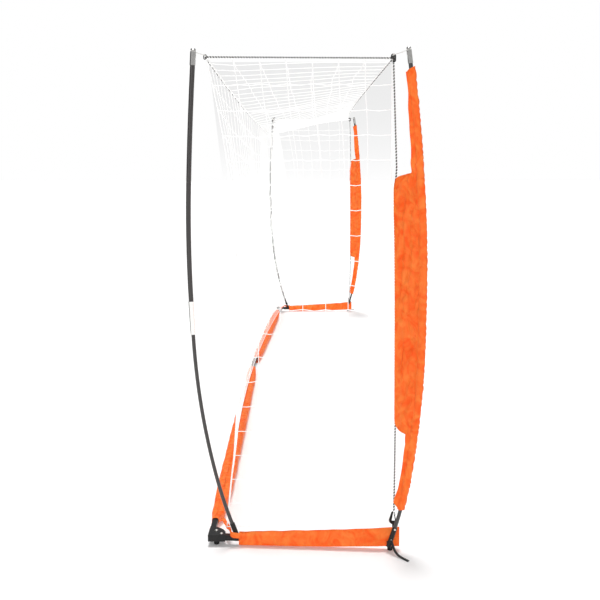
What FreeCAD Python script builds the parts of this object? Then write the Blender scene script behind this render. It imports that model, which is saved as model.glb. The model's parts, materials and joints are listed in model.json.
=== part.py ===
"""Portable bow-pole ball goal: a steel base, four bowed poles, fabric sleeves, and a net hung on ropes.

Millimetres. +Z is up, X runs along the goal's width, and the mouth faces -Y.
The origin is on the ground under the middle of the goal's box. Left is the -X end.
"""
import FreeCAD, Part
import Sketcher
import math
import os

os.makedirs("parts", exist_ok=True)
doc = FreeCAD.newDocument("bow_goal")
Vector = FreeCAD.Vector
Rotation = FreeCAD.Rotation
Placement = FreeCAD.Placement

# Driving dimensions, kept in the sheet
sheet = doc.addObject("Spreadsheet::Sheet", "Sizes")
SIZES = {
    # base frame of square steel tube
    "tube_side": 22.0,
    "tube_wall": 1.6,
    "tube_centre_height": 34.0,
    "corner_reach": 2840.0,
    "corner_depth": 381.4,
    "bar_end_reach": 2871.0,
    "joint_offset": 300.0,
    "joint_depth": 445.4,
    "coupling_arm": 110.0,
    "coupling_clearance": 0.2,
    "side_rear_reach": 2858.0,
    "side_front_reach": 2893.0,
    "side_rear_depth": 365.4,
    "side_front_depth": -368.6,
    # corner brackets, bolts and feet
    "plate_thick": 3.0,
    "plate_radius": 70.0,
    "plate_outer_reach": 2875.0,
    "plate_centre_reach": 2857.0,
    "plate_rear_depth": 394.4,
    "pivot_reach": 2859.2,
    "pivot_depth": 340.4,
    "stop_reach": 2828.0,
    "stop_depth": 364.4,
    "bolt_radius": 3.0,
    "bolt_head_radius": 6.5,
    "bolt_head_height": 4.0,
    "foot_radius": 11.5,
    "rear_foot_height": 20.0,
    "front_foot_height": 23.0,
    "rear_foot_reach": 2850.0,
    "rear_foot_depth": 361.4,
    "front_foot_depth": -341.6,
    # lock button of the back bar
    "button_radius": 4.0,
    "button_flange_radius": 5.4,
    "button_flange_height": 1.6,
    "button_stand": 3.0,
    "button_travel": 4.0,
    "button_distance": 60.0,
    "chamber_radius": 5.7,
    "chamber_floor_thick": 2.5,
    "chamber_roof_thick": 2.0,
    "spring_wire": 0.9,
    # bowed poles
    "lower_radius": 7.5,
    "rear_upper_radius": 9.5,
    "front_upper_radius": 8.0,
    "rear_ferrule_radius": 11.0,
    "front_ferrule_radius": 9.6,
    "pole_wall": 1.5,
    "pole_start_height": 28.0,
    "rear_pole_reach": 2861.5,
    "rear_pole_depth": 271.6,
    "front_pole_reach": 2915.5,
    "front_pole_depth": -334.7,
    "socket_run": 60.0,
    "lower_bend_run": 190.0,
    "lower_long_run": 615.0,
    "ferrule_run": 131.0,
    "upper_bend_run": 450.0,
    "upper_long_run": 450.0,
    "tip_run": 62.0,
    "tip_groove_run": 4.0,
    "tip_cap_run": 8.0,
    "rear_lean_in": 0.4,
    "front_lean_in": 2.2,
    # pole sockets
    "socket_radius": 10.0,
    "socket_gap": 0.3,
    "weld_block": 6.0,
    "socket_length": 82.0,
    "collar_length": 52.0,
    "rivet_radius": 4.0,
    "rivet_height": 3.0,
    # ropes round the net
    "rope_radius": 4.0,
    "front_corner_reach": 2715.0,
    "front_corner_depth": -339.2,
    "front_corner_height": 1941.6,
    "rear_corner_reach": 2686.0,
    "rear_corner_depth": 398.9,
    "rear_corner_height": 1950.4,
    "front_rope_middle_depth": -256.2,
    "front_rope_middle_height": 1871.6,
    "rear_rope_middle_depth": 306.4,
    "rear_rope_middle_height": 1735.0,
    "hook_reach": 2858.0,
    "hook_depth": -354.6,
    "hook_height": 122.0,
    "tab_foot_reach": 2872.8,
    "tab_foot_height": 80.0,
    # nets
    "twine": 3.5,
    "net_inset": 6.5,
    "seam_forward": 85.0,
    "seam_share": 0.57,
    "net_bottom_reach": 2830.0,
    "net_bottom_depth": 319.4,
    "net_bottom_height": 80.0,
    "net_middle_depth": 428.4,
    "net_middle_height": 66.0,
    "net_middle_forward": 35.0,
    # sleeves
    "cloth": 2.0,
    "pole_sleeve_radius": 14.5,
    "pole_sleeve_bore": 12.0,
    "pole_sleeve_width": 45.0,
    "pole_sleeve_bottom": 196.0,
    "pole_sleeve_top": 1890.0,
    "pad_bottom": 500.0,
    "pad_top": 1505.0,
    "pad_edge_gap": 8.0,
    "bar_sleeve_start": 2700.0,
    "bar_sleeve_gap": 158.0,
    # straps and elastic cords
    "strap_width": 12.0,
    "strap_thick": 2.5,
    "elastic_radius": 1.7,
    "front_ring_radius": 8.0,
    "front_ring_wire": 2.4,
    "front_link_height": 30.0,
    "front_rope_stop": 12.0,
    "rear_ring_radius": 5.0,
    "rear_ring_wire": 1.8,
    "rear_link_height": 18.0,
    "rear_rope_stop": 8.4,
}
for row, (name, value) in enumerate(SIZES.items(), start=1):
    sheet.set(f"A{row}", name)
    sheet.set(f"B{row}", str(value))
    sheet.setAlias(f"B{row}", name)
doc.recompute()

# The bows: the lean from upright, in degrees, at the start and end of each curved run
REAR_LEANS = (20.8, 14.5, 2.5, -2.0, -3.8)
FRONT_LEANS = (-18.0, -9.8, -0.5, 4.3, 7.6)
SIDES = ((-1, "left"), (1, "right"))
parts = []

# Room left round what passes through a hole
RIVET_ROOM = 0.1
BUTTON_ROOM = 0.3
BOLT_ROOM = 0.2
POLE_ROOM = 0.8
DIAGONAL = math.sqrt(0.5)


def size(name):
    """A driving dimension as the sheet holds it."""
    return float(sheet.get(name))


def keep(thing, label):
    """Names a finished sub-part and lists it for the export."""
    thing.Label = label
    parts.append(thing)
    return thing


def feature(label, shape, place=None):
    """A sub-part whose shape is worked out here from the sheet."""
    thing = doc.addObject("Part::Feature", label)
    thing.Shape = shape
    thing.Placement = place or Placement()
    return keep(thing, label)


def new_body(label):
    """An empty body under the sub-part's own name."""
    return keep(doc.addObject("PartDesign::Body", label), label)


def new_sketch(body, role, name):
    """A sketch on one of the body's own origin planes."""
    sketch = body.newObject("Sketcher::SketchObject", name)
    plane = [part for part in body.Origin.OriginFeatures if part.Role == role][0]
    sketch.AttachmentSupport = (plane, "")
    sketch.MapMode = "FlatFace"
    return sketch


def bind(sketch, kind, places, value, expression):
    """Adds one dimension to a sketch and binds it to the sheet."""
    number = sketch.addConstraint(Sketcher.Constraint(kind, *places, value))
    sketch.setExpression(f"Constraints[{number}]", expression)


def add_square(sketch, side, expression):
    """A square about the sketch's origin, its side bound to the sheet."""
    half = side / 2
    corners = [(-half, -half), (half, -half), (half, half), (-half, half)]
    first = sketch.GeometryCount
    for k in range(4):
        a = corners[k]
        b = corners[(k + 1) % 4]
        sketch.addGeometry(Part.LineSegment(Vector(*a, 0), Vector(*b, 0)))
    for k in range(4):
        sketch.addConstraint(Sketcher.Constraint("Coincident", first + k, 2, first + (k + 1) % 4, 1))
    for k in (0, 2):
        sketch.addConstraint(Sketcher.Constraint("Horizontal", first + k))
        sketch.addConstraint(Sketcher.Constraint("Vertical", first + k + 1))
    sketch.addConstraint(Sketcher.Constraint("Symmetric", first, 1, first + 2, 1, -1, 1))
    bind(sketch, "DistanceX", (first, 1, first, 2), side, expression)
    bind(sketch, "DistanceY", (first + 1, 1, first + 1, 2), side, expression)


def add_circle(sketch, radius, expression):
    """A circle about the sketch's origin, its radius bound to the sheet."""
    number = sketch.addGeometry(Part.Circle(Vector(0, 0, 0), Vector(0, 0, 1), radius))
    sketch.addConstraint(Sketcher.Constraint("Coincident", number, 3, -1, 1))
    bind(sketch, "Radius", (number,), radius, expression)


def square_tube(label, length, place, holes=()):
    """Square tube along its own X axis, with round holes (x, radius, both) through its top or both walls."""
    body = new_body(label)
    sketch = new_sketch(body, "YZ_Plane", label + "_section")
    add_square(sketch, size("tube_side"), "Sizes.tube_side")
    add_square(sketch, size("tube_side") - 2 * size("tube_wall"), "Sizes.tube_side - 2 * Sizes.tube_wall")
    pad = body.newObject("PartDesign::Pad", label + "_pad")
    pad.Profile = sketch
    pad.Length = length
    doc.recompute()
    for k, (where, radius, both) in enumerate(holes):
        sketch = new_sketch(body, "XY_Plane", f"{label}_hole_{k}")
        sketch.addGeometry(Part.Circle(Vector(where, 0, 0), Vector(0, 0, 1), radius))
        pocket = body.newObject("PartDesign::Pocket", f"{label}_pocket_{k}")
        pocket.Profile = sketch
        pocket.Type = "Length"
        pocket.Length = size("tube_side") * (2 if both else 1)
        pocket.Reversed = not both
        pocket.Midplane = both
        doc.recompute()
    body.Placement = place
    return body


def turn_z(degrees):
    return Rotation(Vector(0, 0, 1), degrees)


def bar_frame(s):
    """Where the back bar's half on side s starts, its direction in degrees, and its length."""
    start = Vector(size("joint_offset"), size("joint_depth"), size("tube_centre_height"))
    end = Vector(s * size("corner_reach"), size("corner_depth"), size("tube_centre_height"))
    direction = math.degrees(math.atan2(end.y - start.y, end.x - start.x))
    length = abs(s * size("bar_end_reach") - start.x) / abs(math.cos(math.radians(direction)))
    return start, direction, length


def along(start, degrees, distance, across=0.0, up=0.0):
    """A point at a distance along a level direction from start."""
    a = math.radians(degrees)
    x = start.x + distance * math.cos(a) - across * math.sin(a)
    y = start.y + distance * math.sin(a) + across * math.cos(a)
    return Vector(x, y, start.z + up)


# Back bar: two tubes that meet on an inner coupling
# The coupling is riveted into the left tube, and a sprung button locks the right one on it
JOINT_HALF_GAP = 0.5
for s, side in SIDES:
    start, degrees, length = bar_frame(s)
    hole_radius = size("button_radius") + BUTTON_ROOM
    if s < 0:
        hole_radius = size("rivet_radius") / 2 + RIVET_ROOM
    holes = [(size("button_distance") - JOINT_HALF_GAP, hole_radius, s < 0)]
    place = Placement(along(start, degrees, JOINT_HALF_GAP), turn_z(degrees))
    square_tube(f"back_tube_{side}", length - JOINT_HALF_GAP, place, holes)

arm_side = size("tube_side") - 2 * size("tube_wall") - 2 * size("coupling_clearance")
arms = []
for s, side in SIDES:
    start, degrees, length = bar_frame(s)
    arm = doc.addObject("Part::Box", f"coupling_arm_{side}")
    arm.setExpression("Length", "Sizes.coupling_arm")
    arm.setExpression("Width", "Sizes.tube_side - 2 * Sizes.tube_wall - 2 * Sizes.coupling_clearance")
    arm.setExpression("Height", "Sizes.tube_side - 2 * Sizes.tube_wall - 2 * Sizes.coupling_clearance")
    arm.Placement = Placement(along(start, degrees, 0, -arm_side / 2, -arm_side / 2), turn_z(degrees))
    arms.append(arm)
coupling_bar = doc.addObject("Part::MultiFuse", "coupling_bar")
coupling_bar.Shapes = arms
chamber_floor = size("tube_centre_height") - arm_side / 2 + size("chamber_floor_thick")
flange_top = size("tube_centre_height") + arm_side / 2 - size("chamber_roof_thick")
start, degrees, length = bar_frame(1)
button_spot = along(start, degrees, size("button_distance"), 0, -start.z)
start, degrees, length = bar_frame(-1)
rivet_spot = along(start, degrees, size("button_distance"), 0, -start.z)
bores = []
throat_top = flange_top + 2 * size("chamber_roof_thick")
rivet_hole = size("rivet_radius") / 2 + RIVET_ROOM
for name, spot, radius, low, high in (
    ("chamber", button_spot, size("chamber_radius"), chamber_floor, flange_top),
    ("throat", button_spot, size("button_radius") + BUTTON_ROOM, flange_top - 1, throat_top),
    ("rivet_hole", rivet_spot, rivet_hole, 0, 2 * size("tube_centre_height")),
):
    bore = doc.addObject("Part::Cylinder", "coupling_" + name)
    bore.Radius = radius
    bore.Height = high - low
    bore.Placement = Placement(spot + Vector(0, 0, low), Rotation())
    bores.append(bore)
coupling_bores = doc.addObject("Part::MultiFuse", "coupling_bores")
coupling_bores.Shapes = bores
coupling = doc.addObject("Part::Cut", "back_coupling")
coupling.Base = coupling_bar
coupling.Tool = coupling_bores
keep(coupling, "back_coupling")

tube_top = size("tube_centre_height") + size("tube_side") / 2
tube_bottom = tube_top - size("tube_side")
rivet_cap = size("rivet_height") / 2
shank_foot = rivet_spot + Vector(0, 0, tube_bottom)
shank = Part.makeCylinder(size("rivet_radius") / 2, size("tube_side"), shank_foot)
caps = [
    Part.makeCylinder(size("rivet_radius"), rivet_cap, rivet_spot + Vector(0, 0, up))
    for up in (tube_bottom - rivet_cap, tube_top)
]
feature("coupling_rivet", shank.fuse(caps).removeSplitter())

# Lock button: a flanged pin held up by a spring in the coupling's chamber
FLANGE_GAP = 0.1
SPRING_GAP = 0.1
button_top = tube_top + size("button_stand")
flange_base = flange_top - FLANGE_GAP - size("button_flange_height")
body = new_body("lock_button")
sketch = new_sketch(body, "XY_Plane", "button_flange")
add_circle(sketch, size("button_flange_radius"), "Sizes.button_flange_radius")
pad = body.newObject("PartDesign::Pad", "button_flange_pad")
pad.Profile = sketch
pad.setExpression("Length", "Sizes.button_flange_height")
sketch = new_sketch(body, "XY_Plane", "button_pin")
add_circle(sketch, size("button_radius"), "Sizes.button_radius")
pad = body.newObject("PartDesign::Pad", "button_pin_pad")
pad.Profile = sketch
pad.Length = button_top - flange_base
doc.recompute()
rim = [
    f"Edge{k + 1}"
    for k, edge in enumerate(pad.Shape.Edges)
    if edge.BoundBox.ZMin > button_top - flange_base - 0.01
]
fillet = body.newObject("PartDesign::Fillet", "button_rounding")
fillet.Base = (pad, rim)
fillet.Radius = size("button_radius") / 3
body.Placement = Placement(button_spot + Vector(0, 0, flange_base), Rotation())
spring_length = flange_base - chamber_floor - 2 * SPRING_GAP
spring = Part.makeCylinder(size("button_radius"), spring_length)
spring = spring.cut(Part.makeCylinder(size("button_radius") - size("spring_wire"), spring_length))
spring_spot = button_spot + Vector(0, 0, chamber_floor + SPRING_GAP)
feature("button_spring", spring, Placement(spring_spot, Rotation()))


# Corner brackets: two rounded plates and an outer web that hold both tubes
plate_low = size("tube_centre_height") - size("tube_side") / 2 - size("plate_thick")
bracket_height = size("tube_side") + 2 * size("plate_thick")
for s, side in SIDES:
    reach = size("plate_outer_reach")
    centre = size("plate_centre_reach")
    rear = size("plate_rear_depth")
    radius = size("plate_radius")
    corners = [
        Vector(s * (centre - radius), rear, 0),
        Vector(s * reach, rear, 0),
        Vector(s * reach, rear - radius, 0),
        Vector(s * centre, rear - radius, 0),
    ]
    half_turn = radius * DIAGONAL
    middle = Vector(s * (centre - half_turn), rear - half_turn, 0)
    body = new_body(f"corner_bracket_{side}")
    sketch = new_sketch(body, "XY_Plane", f"bracket_outline_{side}")
    for a, b in zip(corners[:-1], corners[1:]):
        sketch.addGeometry(Part.LineSegment(a, b))
    sketch.addGeometry(Part.Arc(corners[3], middle, corners[0]))
    pad = body.newObject("PartDesign::Pad", f"bracket_pad_{side}")
    pad.Profile = sketch
    pad.setExpression("Length", "Sizes.tube_side + 2 * Sizes.plate_thick")
    doc.recompute()
    full = body.Shape.Volume
    web = reach - size("plate_thick")
    inner = Vector(s * (centre - 2 * radius), size("plate_thick"), 0)
    outer = Vector(s * web, size("plate_thick") + size("tube_side"), 0)
    window = [inner, Vector(outer.x, inner.y, 0), outer, Vector(inner.x, outer.y, 0)]
    sketch = new_sketch(body, "XZ_Plane", f"bracket_window_{side}")
    for k in range(4):
        sketch.addGeometry(Part.LineSegment(window[k], window[(k + 1) % 4]))
    pocket = body.newObject("PartDesign::Pocket", f"bracket_pocket_{side}")
    pocket.Profile = sketch
    pocket.Type = "ThroughAll"
    pocket.Midplane = True
    sketch = new_sketch(body, "XY_Plane", f"bracket_bolt_holes_{side}")
    for name in ("pivot", "stop"):
        spot = Vector(s * size(name + "_reach"), size(name + "_depth"), 0)
        sketch.addGeometry(Part.Circle(spot, Vector(0, 0, 1), size("bolt_radius") + BOLT_ROOM))
    holes = body.newObject("PartDesign::Pocket", f"bracket_holes_{side}")
    holes.Profile = sketch
    holes.Type = "ThroughAll"
    holes.Midplane = True
    doc.recompute()
    if body.Shape.Volume > 0.5 * full:
        raise RuntimeError("the bracket's window cut nothing")
    body.Placement = Placement(Vector(0, 0, plate_low), Rotation())


def side_frame(s):
    """Where a side tube starts at the rear, its direction in degrees, and its length."""
    start = Vector(s * size("side_rear_reach"), size("side_rear_depth"), size("tube_centre_height"))
    end = Vector(s * size("side_front_reach"), size("side_front_depth"), size("tube_centre_height"))
    direction = math.degrees(math.atan2(end.y - start.y, end.x - start.x))
    return start, direction, (end - start).Length


def pole_frame(s, which):
    """A pole's foot, and the turn that lays its own upright axis along the socket."""
    rear = which == "rear"
    foot = Vector(
        s * size(which + "_pole_reach"), size(which + "_pole_depth"), size("pole_start_height")
    )
    lean = REAR_LEANS[0] if rear else FRONT_LEANS[0]
    turn = Rotation(Vector(0, 1, 0), -s * size(which + "_lean_in")) * Rotation(Vector(1, 0, 0), -lean)
    return foot, turn


def at_pole(s, which, distance):
    """A point on the socket's axis, that far above the pole's foot."""
    foot, turn = pole_frame(s, which)
    return foot + turn.multVec(Vector(0, 0, distance))


# Side tubes, bored for the pivot bolt and for the rear pole
for s, side in SIDES:
    start, degrees, length = side_frame(s)
    foot, turn = pole_frame(s, "rear")
    pivot_at = start.y - size("pivot_depth")
    body = square_tube(
        f"side_tube_blank_{side}",
        length,
        Placement(start, turn_z(degrees)),
        [(pivot_at, size("bolt_radius") + BOLT_ROOM, True)],
    )
    parts.remove(body)
    drill = doc.addObject("Part::Cylinder", f"rear_pole_drill_{side}")
    drill.setExpression("Radius", f"Sizes.lower_radius + {POLE_ROOM}")
    drill.Height = size("socket_run")
    drill.Placement = Placement(foot, turn)
    tube = doc.addObject("Part::Cut", f"side_tube_{side}")
    tube.Base = body
    tube.Tool = drill
    keep(tube, f"side_tube_{side}")

# Corner bolts: dome heads above the plates and nuts below
NUT_HEIGHT = 4.0
NUT_RADIUS = 5.8
bolt_shapes = []
for s, side in SIDES:
    for name in ("pivot", "stop"):
        spot = Vector(s * size(name + "_reach"), size(name + "_depth"), 0)
        plate_top = plate_low + bracket_height
        nut_base = spot + Vector(0, 0, plate_low - NUT_HEIGHT)
        shank = Part.makeCylinder(size("bolt_radius"), plate_top - plate_low + NUT_HEIGHT, nut_base)
        head_base = spot + Vector(0, 0, plate_top)
        head = Part.makeCylinder(size("bolt_head_radius"), size("bolt_head_height"), head_base)
        rim = [edge for edge in head.Edges if edge.BoundBox.ZMin > plate_top + 1]
        head = head.makeFillet(size("bolt_head_height") * 0.6, rim)
        nut_corners = []
        for k in range(7):
            turn = k * math.pi / 3
            nut_corners.append(nut_base + Vector(NUT_RADIUS * math.cos(turn), NUT_RADIUS * math.sin(turn), 0))
        nut = Part.Face(Part.makePolygon(nut_corners)).extrude(Vector(0, 0, NUT_HEIGHT))
        bolt_shapes.append(shank.fuse([head, nut]).removeSplitter())
feature("corner_bolts", Part.makeCompound(bolt_shapes))


def rubber_foot(spot, height):
    """One turned rubber foot with a rounded sole."""
    radius = size("foot_radius")
    sole = radius * 0.2
    half_way = sole * (1 - DIAGONAL)
    outline = [
        Part.LineSegment(Vector(0, 0, 0), Vector(radius - 1 - sole, 0, 0)).toShape(),
        Part.Arc(
            Vector(radius - 1 - sole, 0, 0),
            Vector(radius - 1 - half_way, 0, half_way),
            Vector(radius - 1, 0, sole),
        ).toShape(),
        Part.LineSegment(Vector(radius - 1, 0, sole), Vector(radius, 0, height)).toShape(),
        Part.LineSegment(Vector(radius, 0, height), Vector(0, 0, height)).toShape(),
        Part.LineSegment(Vector(0, 0, height), Vector(0, 0, 0)).toShape(),
    ]
    solid = Part.Face(Part.Wire(outline)).revolve(Vector(0, 0, 0), Vector(0, 0, 1), 360)
    solid.translate(spot)
    return solid


rear_feet = []
front_feet = []
for s, side in SIDES:
    rear_spot = Vector(s * size("rear_foot_reach"), size("rear_foot_depth"), 0)
    rear_feet.append(rubber_foot(rear_spot, size("rear_foot_height")))
    start, degrees, length = side_frame(s)
    share = (size("side_rear_depth") - size("front_foot_depth")) / (
        size("side_rear_depth") - size("side_front_depth")
    )
    front_spot = along(start, degrees, share * length, 0, -start.z)
    front_feet.append(rubber_foot(front_spot, size("front_foot_height")))
feature("rear_feet", Part.makeCompound(rear_feet))
feature("front_feet", Part.makeCompound(front_feet))

# Pole sockets: a short collar on each side tube at the rear, a blind tube beside it at the front
RIVET_RUNS = (28.0, 74.0)
RIVET_SEAT = 0.3
COLLAR_SINK = 18.0
SOCKET_FLOOR = 4.0
rivet_shapes = []
for s, side in SIDES:
    foot, turn = pole_frame(s, "rear")
    outer = doc.addObject("Part::Cylinder", f"rear_collar_outer_{side}")
    outer.setExpression("Radius", "Sizes.socket_radius")
    outer.setExpression("Height", f"Sizes.collar_length + {COLLAR_SINK}")
    outer.Placement = Placement(foot, turn)
    bore = doc.addObject("Part::Cylinder", f"rear_collar_bore_{side}")
    bore.setExpression("Radius", "Sizes.lower_radius + Sizes.socket_gap")
    bore.Height = 2 * size("socket_length")
    bore.Placement = Placement(foot, turn)
    below = doc.addObject("Part::Box", f"rear_collar_base_{side}")
    below_half = 5 * size("socket_radius")
    below.Length = 2 * below_half
    below.Width = 2 * below_half
    below.Height = tube_top
    below.Placement = Placement(Vector(foot.x - below_half, foot.y - below_half, 0), Rotation())
    cutters = doc.addObject("Part::MultiFuse", f"rear_collar_cutters_{side}")
    cutters.Shapes = [bore, below]
    collar = doc.addObject("Part::Cut", f"rear_socket_{side}")
    collar.Base = outer
    collar.Tool = cutters
    keep(collar, f"rear_socket_{side}")

    foot, turn = pole_frame(s, "front")
    floor = foot - turn.multVec(Vector(0, 0, SOCKET_FLOOR))
    outer = doc.addObject("Part::Cylinder", f"front_socket_outer_{side}")
    outer.setExpression("Radius", "Sizes.socket_radius")
    outer.setExpression("Height", "Sizes.socket_length")
    outer.Placement = Placement(floor, turn)
    start, degrees, length = side_frame(s)
    block_length = 0.8 * 2 * size("socket_radius")
    block_across = size("tube_side") / 2 + 0.05
    if s < 0:
        block_across = -block_across - size("weld_block")
    block_run = start.y - foot.y - block_length * 0.4
    block = doc.addObject("Part::Box", f"front_socket_block_{side}")
    block.Length = block_length
    block.setExpression("Width", "Sizes.weld_block")
    block.setExpression("Height", "Sizes.tube_side * 0.8")
    corner = along(start, degrees, block_run, block_across, -0.4 * size("tube_side"))
    block.Placement = Placement(corner, turn_z(degrees))
    joined = doc.addObject("Part::Fuse", f"front_socket_joined_{side}")
    joined.Base = outer
    joined.Tool = block
    bore = doc.addObject("Part::Cylinder", f"front_socket_bore_{side}")
    bore.setExpression("Radius", "Sizes.lower_radius + Sizes.socket_gap")
    bore.setExpression("Height", "Sizes.socket_length")
    bore.Placement = Placement(foot - turn.multVec(Vector(0, 0, size("socket_gap"))), turn)
    tools = [bore]
    for k, run in enumerate(RIVET_RUNS):
        centre = at_pole(s, "front", run)
        outward = turn.multVec(Vector(s, 0, 0))
        wall_at = size("lower_radius") + size("socket_gap")
        hole = doc.addObject("Part::Cylinder", f"front_rivet_hole_{side}_{k}")
        hole.Radius = rivet_hole
        hole.Height = size("socket_radius")
        hole.Placement = Placement(centre, Rotation(Vector(0, 0, 1), outward))
        tools.append(hole)
        rivet_start = wall_at + RIVET_SEAT
        head_start = size("socket_radius") + RIVET_ROOM
        rivet = Part.makeCylinder(
            size("rivet_radius") / 2, head_start - rivet_start, centre + outward * rivet_start, outward
        )
        head = Part.makeCylinder(
            size("rivet_radius"), size("rivet_height"), centre + outward * head_start, outward
        )
        rivet_shapes.append(rivet.fuse(head).removeSplitter())
    cutters = doc.addObject("Part::MultiFuse", f"front_socket_cutters_{side}")
    cutters.Shapes = tools
    socket = doc.addObject("Part::Cut", f"front_socket_{side}")
    socket.Base = joined
    socket.Tool = cutters
    keep(socket, f"front_socket_{side}")
feature("socket_rivets", Part.makeCompound(rivet_shapes))


def run_points(runs):
    """The corner points, arc middles and leans of a chain of tangent runs that starts upwards.

    Each run is (length, turn in degrees). The chain lies in the YZ plane, and a plus turn leans to -Y.
    """
    y = z = lean = 0.0
    chain = []
    for length, turn_by in runs:
        marks = [(y, z)]
        for half in range(2):
            step = length / 2
            mid_lean = math.radians(lean + turn_by * (0.25 + 0.5 * half))
            chord = step
            if turn_by:
                quarter = math.radians(turn_by) / 4
                chord = step * math.sin(quarter) / quarter
            y -= chord * math.sin(mid_lean)
            z += chord * math.cos(mid_lean)
            marks.append((y, z))
        lean += turn_by
        chain.append((marks, turn_by))
    return chain, (y, z), lean


def pole_section(label, which, s, lead_runs, runs, radius_name):
    """One tube of a bowed pole, swept along its runs; lead_runs say where on the pole it starts."""
    body = new_body(label)
    path = new_sketch(body, "YZ_Plane", label + "_path")
    chain, end, lean = run_points(runs)
    for marks, turn_by in chain:
        points = [Vector(y, z, 0) for y, z in marks]
        if turn_by:
            path.addGeometry(Part.Arc(*points))
        else:
            path.addGeometry(Part.LineSegment(points[0], points[2]))
    for k in range(len(chain) - 1):
        a = 2
        b = 1
        if chain[k][1]:
            a = 1 if chain[k][1] < 0 else 2
        if chain[k + 1][1]:
            b = 2 if chain[k + 1][1] < 0 else 1
        path.addConstraint(Sketcher.Constraint("Coincident", k, a, k + 1, b))
    ring = new_sketch(body, "XY_Plane", label + "_ring")
    add_circle(ring, size(radius_name), f"Sizes.{radius_name}")
    add_circle(ring, size(radius_name) - size("pole_wall"), f"Sizes.{radius_name} - Sizes.pole_wall")
    pipe = body.newObject("PartDesign::AdditivePipe", label + "_pipe")
    pipe.Profile = ring
    pipe.Spine = path
    body.Placement = section_place(which, s, lead_runs)
    return body


def section_place(which, s, lead_runs):
    """The place and turn at the end of the runs below a section."""
    foot, turn = pole_frame(s, which)
    chain, (y, z), lean = run_points(lead_runs)
    return Placement(foot + turn.multVec(Vector(0, y, z)), turn * Rotation(Vector(1, 0, 0), lean))


# Poles: lower tube, ferrule, upper tube and tip
def pole_runs(leans):
    """The straight and curved runs of a whole pole, foot first."""
    turns = [-(b - a) for a, b in zip(leans[:-1], leans[1:])]
    return [
        (size("socket_run"), 0.0),
        (size("lower_bend_run"), turns[0]),
        (size("lower_long_run"), turns[1]),
        (size("ferrule_run"), 0.0),
        (size("upper_bend_run"), turns[2]),
        (size("upper_long_run"), turns[3]),
    ]


POLE_RUNS = {"rear": pole_runs(REAR_LEANS), "front": pole_runs(FRONT_LEANS)}
FERRULE_LAP = 60.0
FERRULE_ROOM = 0.1
TIP_PLUG = 25.0
TIP_CHAMFER = 3.0
NECK_SHARE = 0.62
CAP_SHARE = 0.9
for which in ("front", "rear"):
    runs = POLE_RUNS[which]
    upper_name = which + "_upper_radius"
    for s, side in SIDES:
        tag = f"{which}_pole_{side}"
        lower_runs = runs[:3] + [(FERRULE_LAP, 0.0)]
        pole_section(tag + "_lower", which, s, [], lower_runs, "lower_radius")
        lap_start = size("ferrule_run") - FERRULE_LAP
        upper_lead = runs[:3] + [(lap_start, 0.0)]
        upper_runs = [(FERRULE_LAP, 0.0)] + runs[4:]
        pole_section(tag + "_upper", which, s, upper_lead, upper_runs, upper_name)

        body = new_body(tag + "_ferrule")
        sketch = new_sketch(body, "XZ_Plane", tag + "_ferrule_section")
        middle = size("ferrule_run") / 2
        lower_bore = size("lower_radius") + FERRULE_ROOM
        upper_bore = size(upper_name) + FERRULE_ROOM
        outer = size(which + "_ferrule_radius")
        high = size("ferrule_run")
        edge = [
            (lower_bore, 0),
            (outer, 0),
            (outer, high),
            (upper_bore, high),
            (upper_bore, middle),
            (lower_bore, middle),
        ]
        for k in range(len(edge)):
            a = edge[k]
            b = edge[(k + 1) % len(edge)]
            sketch.addGeometry(Part.LineSegment(Vector(*a, 0), Vector(*b, 0)))
        turned = body.newObject("PartDesign::Revolution", tag + "_ferrule_turned")
        turned.Profile = sketch
        turned.ReferenceAxis = (sketch, ["V_Axis"])
        turned.Angle = 360
        body.Placement = section_place(which, s, runs[:3])

        body = new_body(tag + "_tip")
        sketch = new_sketch(body, "XZ_Plane", tag + "_tip_section")
        plug = size(upper_name) - size("pole_wall") - FERRULE_ROOM
        body_top = size("tip_run") - size("tip_groove_run") - size("tip_cap_run")
        groove_top = size("tip_run") - size("tip_cap_run")
        top = size("tip_run")
        neck = outer * NECK_SHARE
        cap = outer * CAP_SHARE
        edge = [
            (0, -TIP_PLUG),
            (plug, -TIP_PLUG),
            (plug, 0),
            (outer, 0),
            (outer, body_top),
            (neck, body_top),
            (neck, groove_top),
            (cap, groove_top),
            (cap, top - TIP_CHAMFER),
            (cap - TIP_CHAMFER, top),
            (0, top),
        ]
        for k in range(len(edge)):
            a = edge[k]
            b = edge[(k + 1) % len(edge)]
            sketch.addGeometry(Part.LineSegment(Vector(*a, 0), Vector(*b, 0)))
        turned = body.newObject("PartDesign::Revolution", tag + "_tip_turned")
        turned.Profile = sketch
        turned.ReferenceAxis = (sketch, ["V_Axis"])
        turned.Angle = 360
        body.Placement = section_place(which, s, runs)


def pole_point(which, s, height):
    """The point of a pole's centreline at a height above the ground."""
    runs = POLE_RUNS[which] + [(size("tip_run"), 0.0)]
    foot, turn = pole_frame(s, which)
    lead = []
    for run in runs:
        end = section_place(which, s, lead + [run]).Base
        if end.z >= height:
            low = 0.0
            high = 1.0
            for _ in range(40):
                share = (low + high) / 2
                part_run = (run[0] * share, run[1] * share)
                spot = section_place(which, s, lead + [part_run]).Base
                if spot.z < height:
                    low = share
                else:
                    high = share
            return spot
        lead.append(run)
    return end


def corner_point(s, which):
    """The top corner of the net on side s, front or rear."""
    return Vector(
        s * size(which + "_corner_reach"), size(which + "_corner_depth"), size(which + "_corner_height")
    )


def tube_along(wire, radius, start, direction):
    """A round rod swept along a path."""
    circle = Part.Wire(Part.Circle(start, direction, radius).toShape())
    shell = Part.BRepOffsetAPI.MakePipeShell(wire)
    shell.add(circle)
    shell.build()
    shell.makeSolid()
    return shell.shape()


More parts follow.
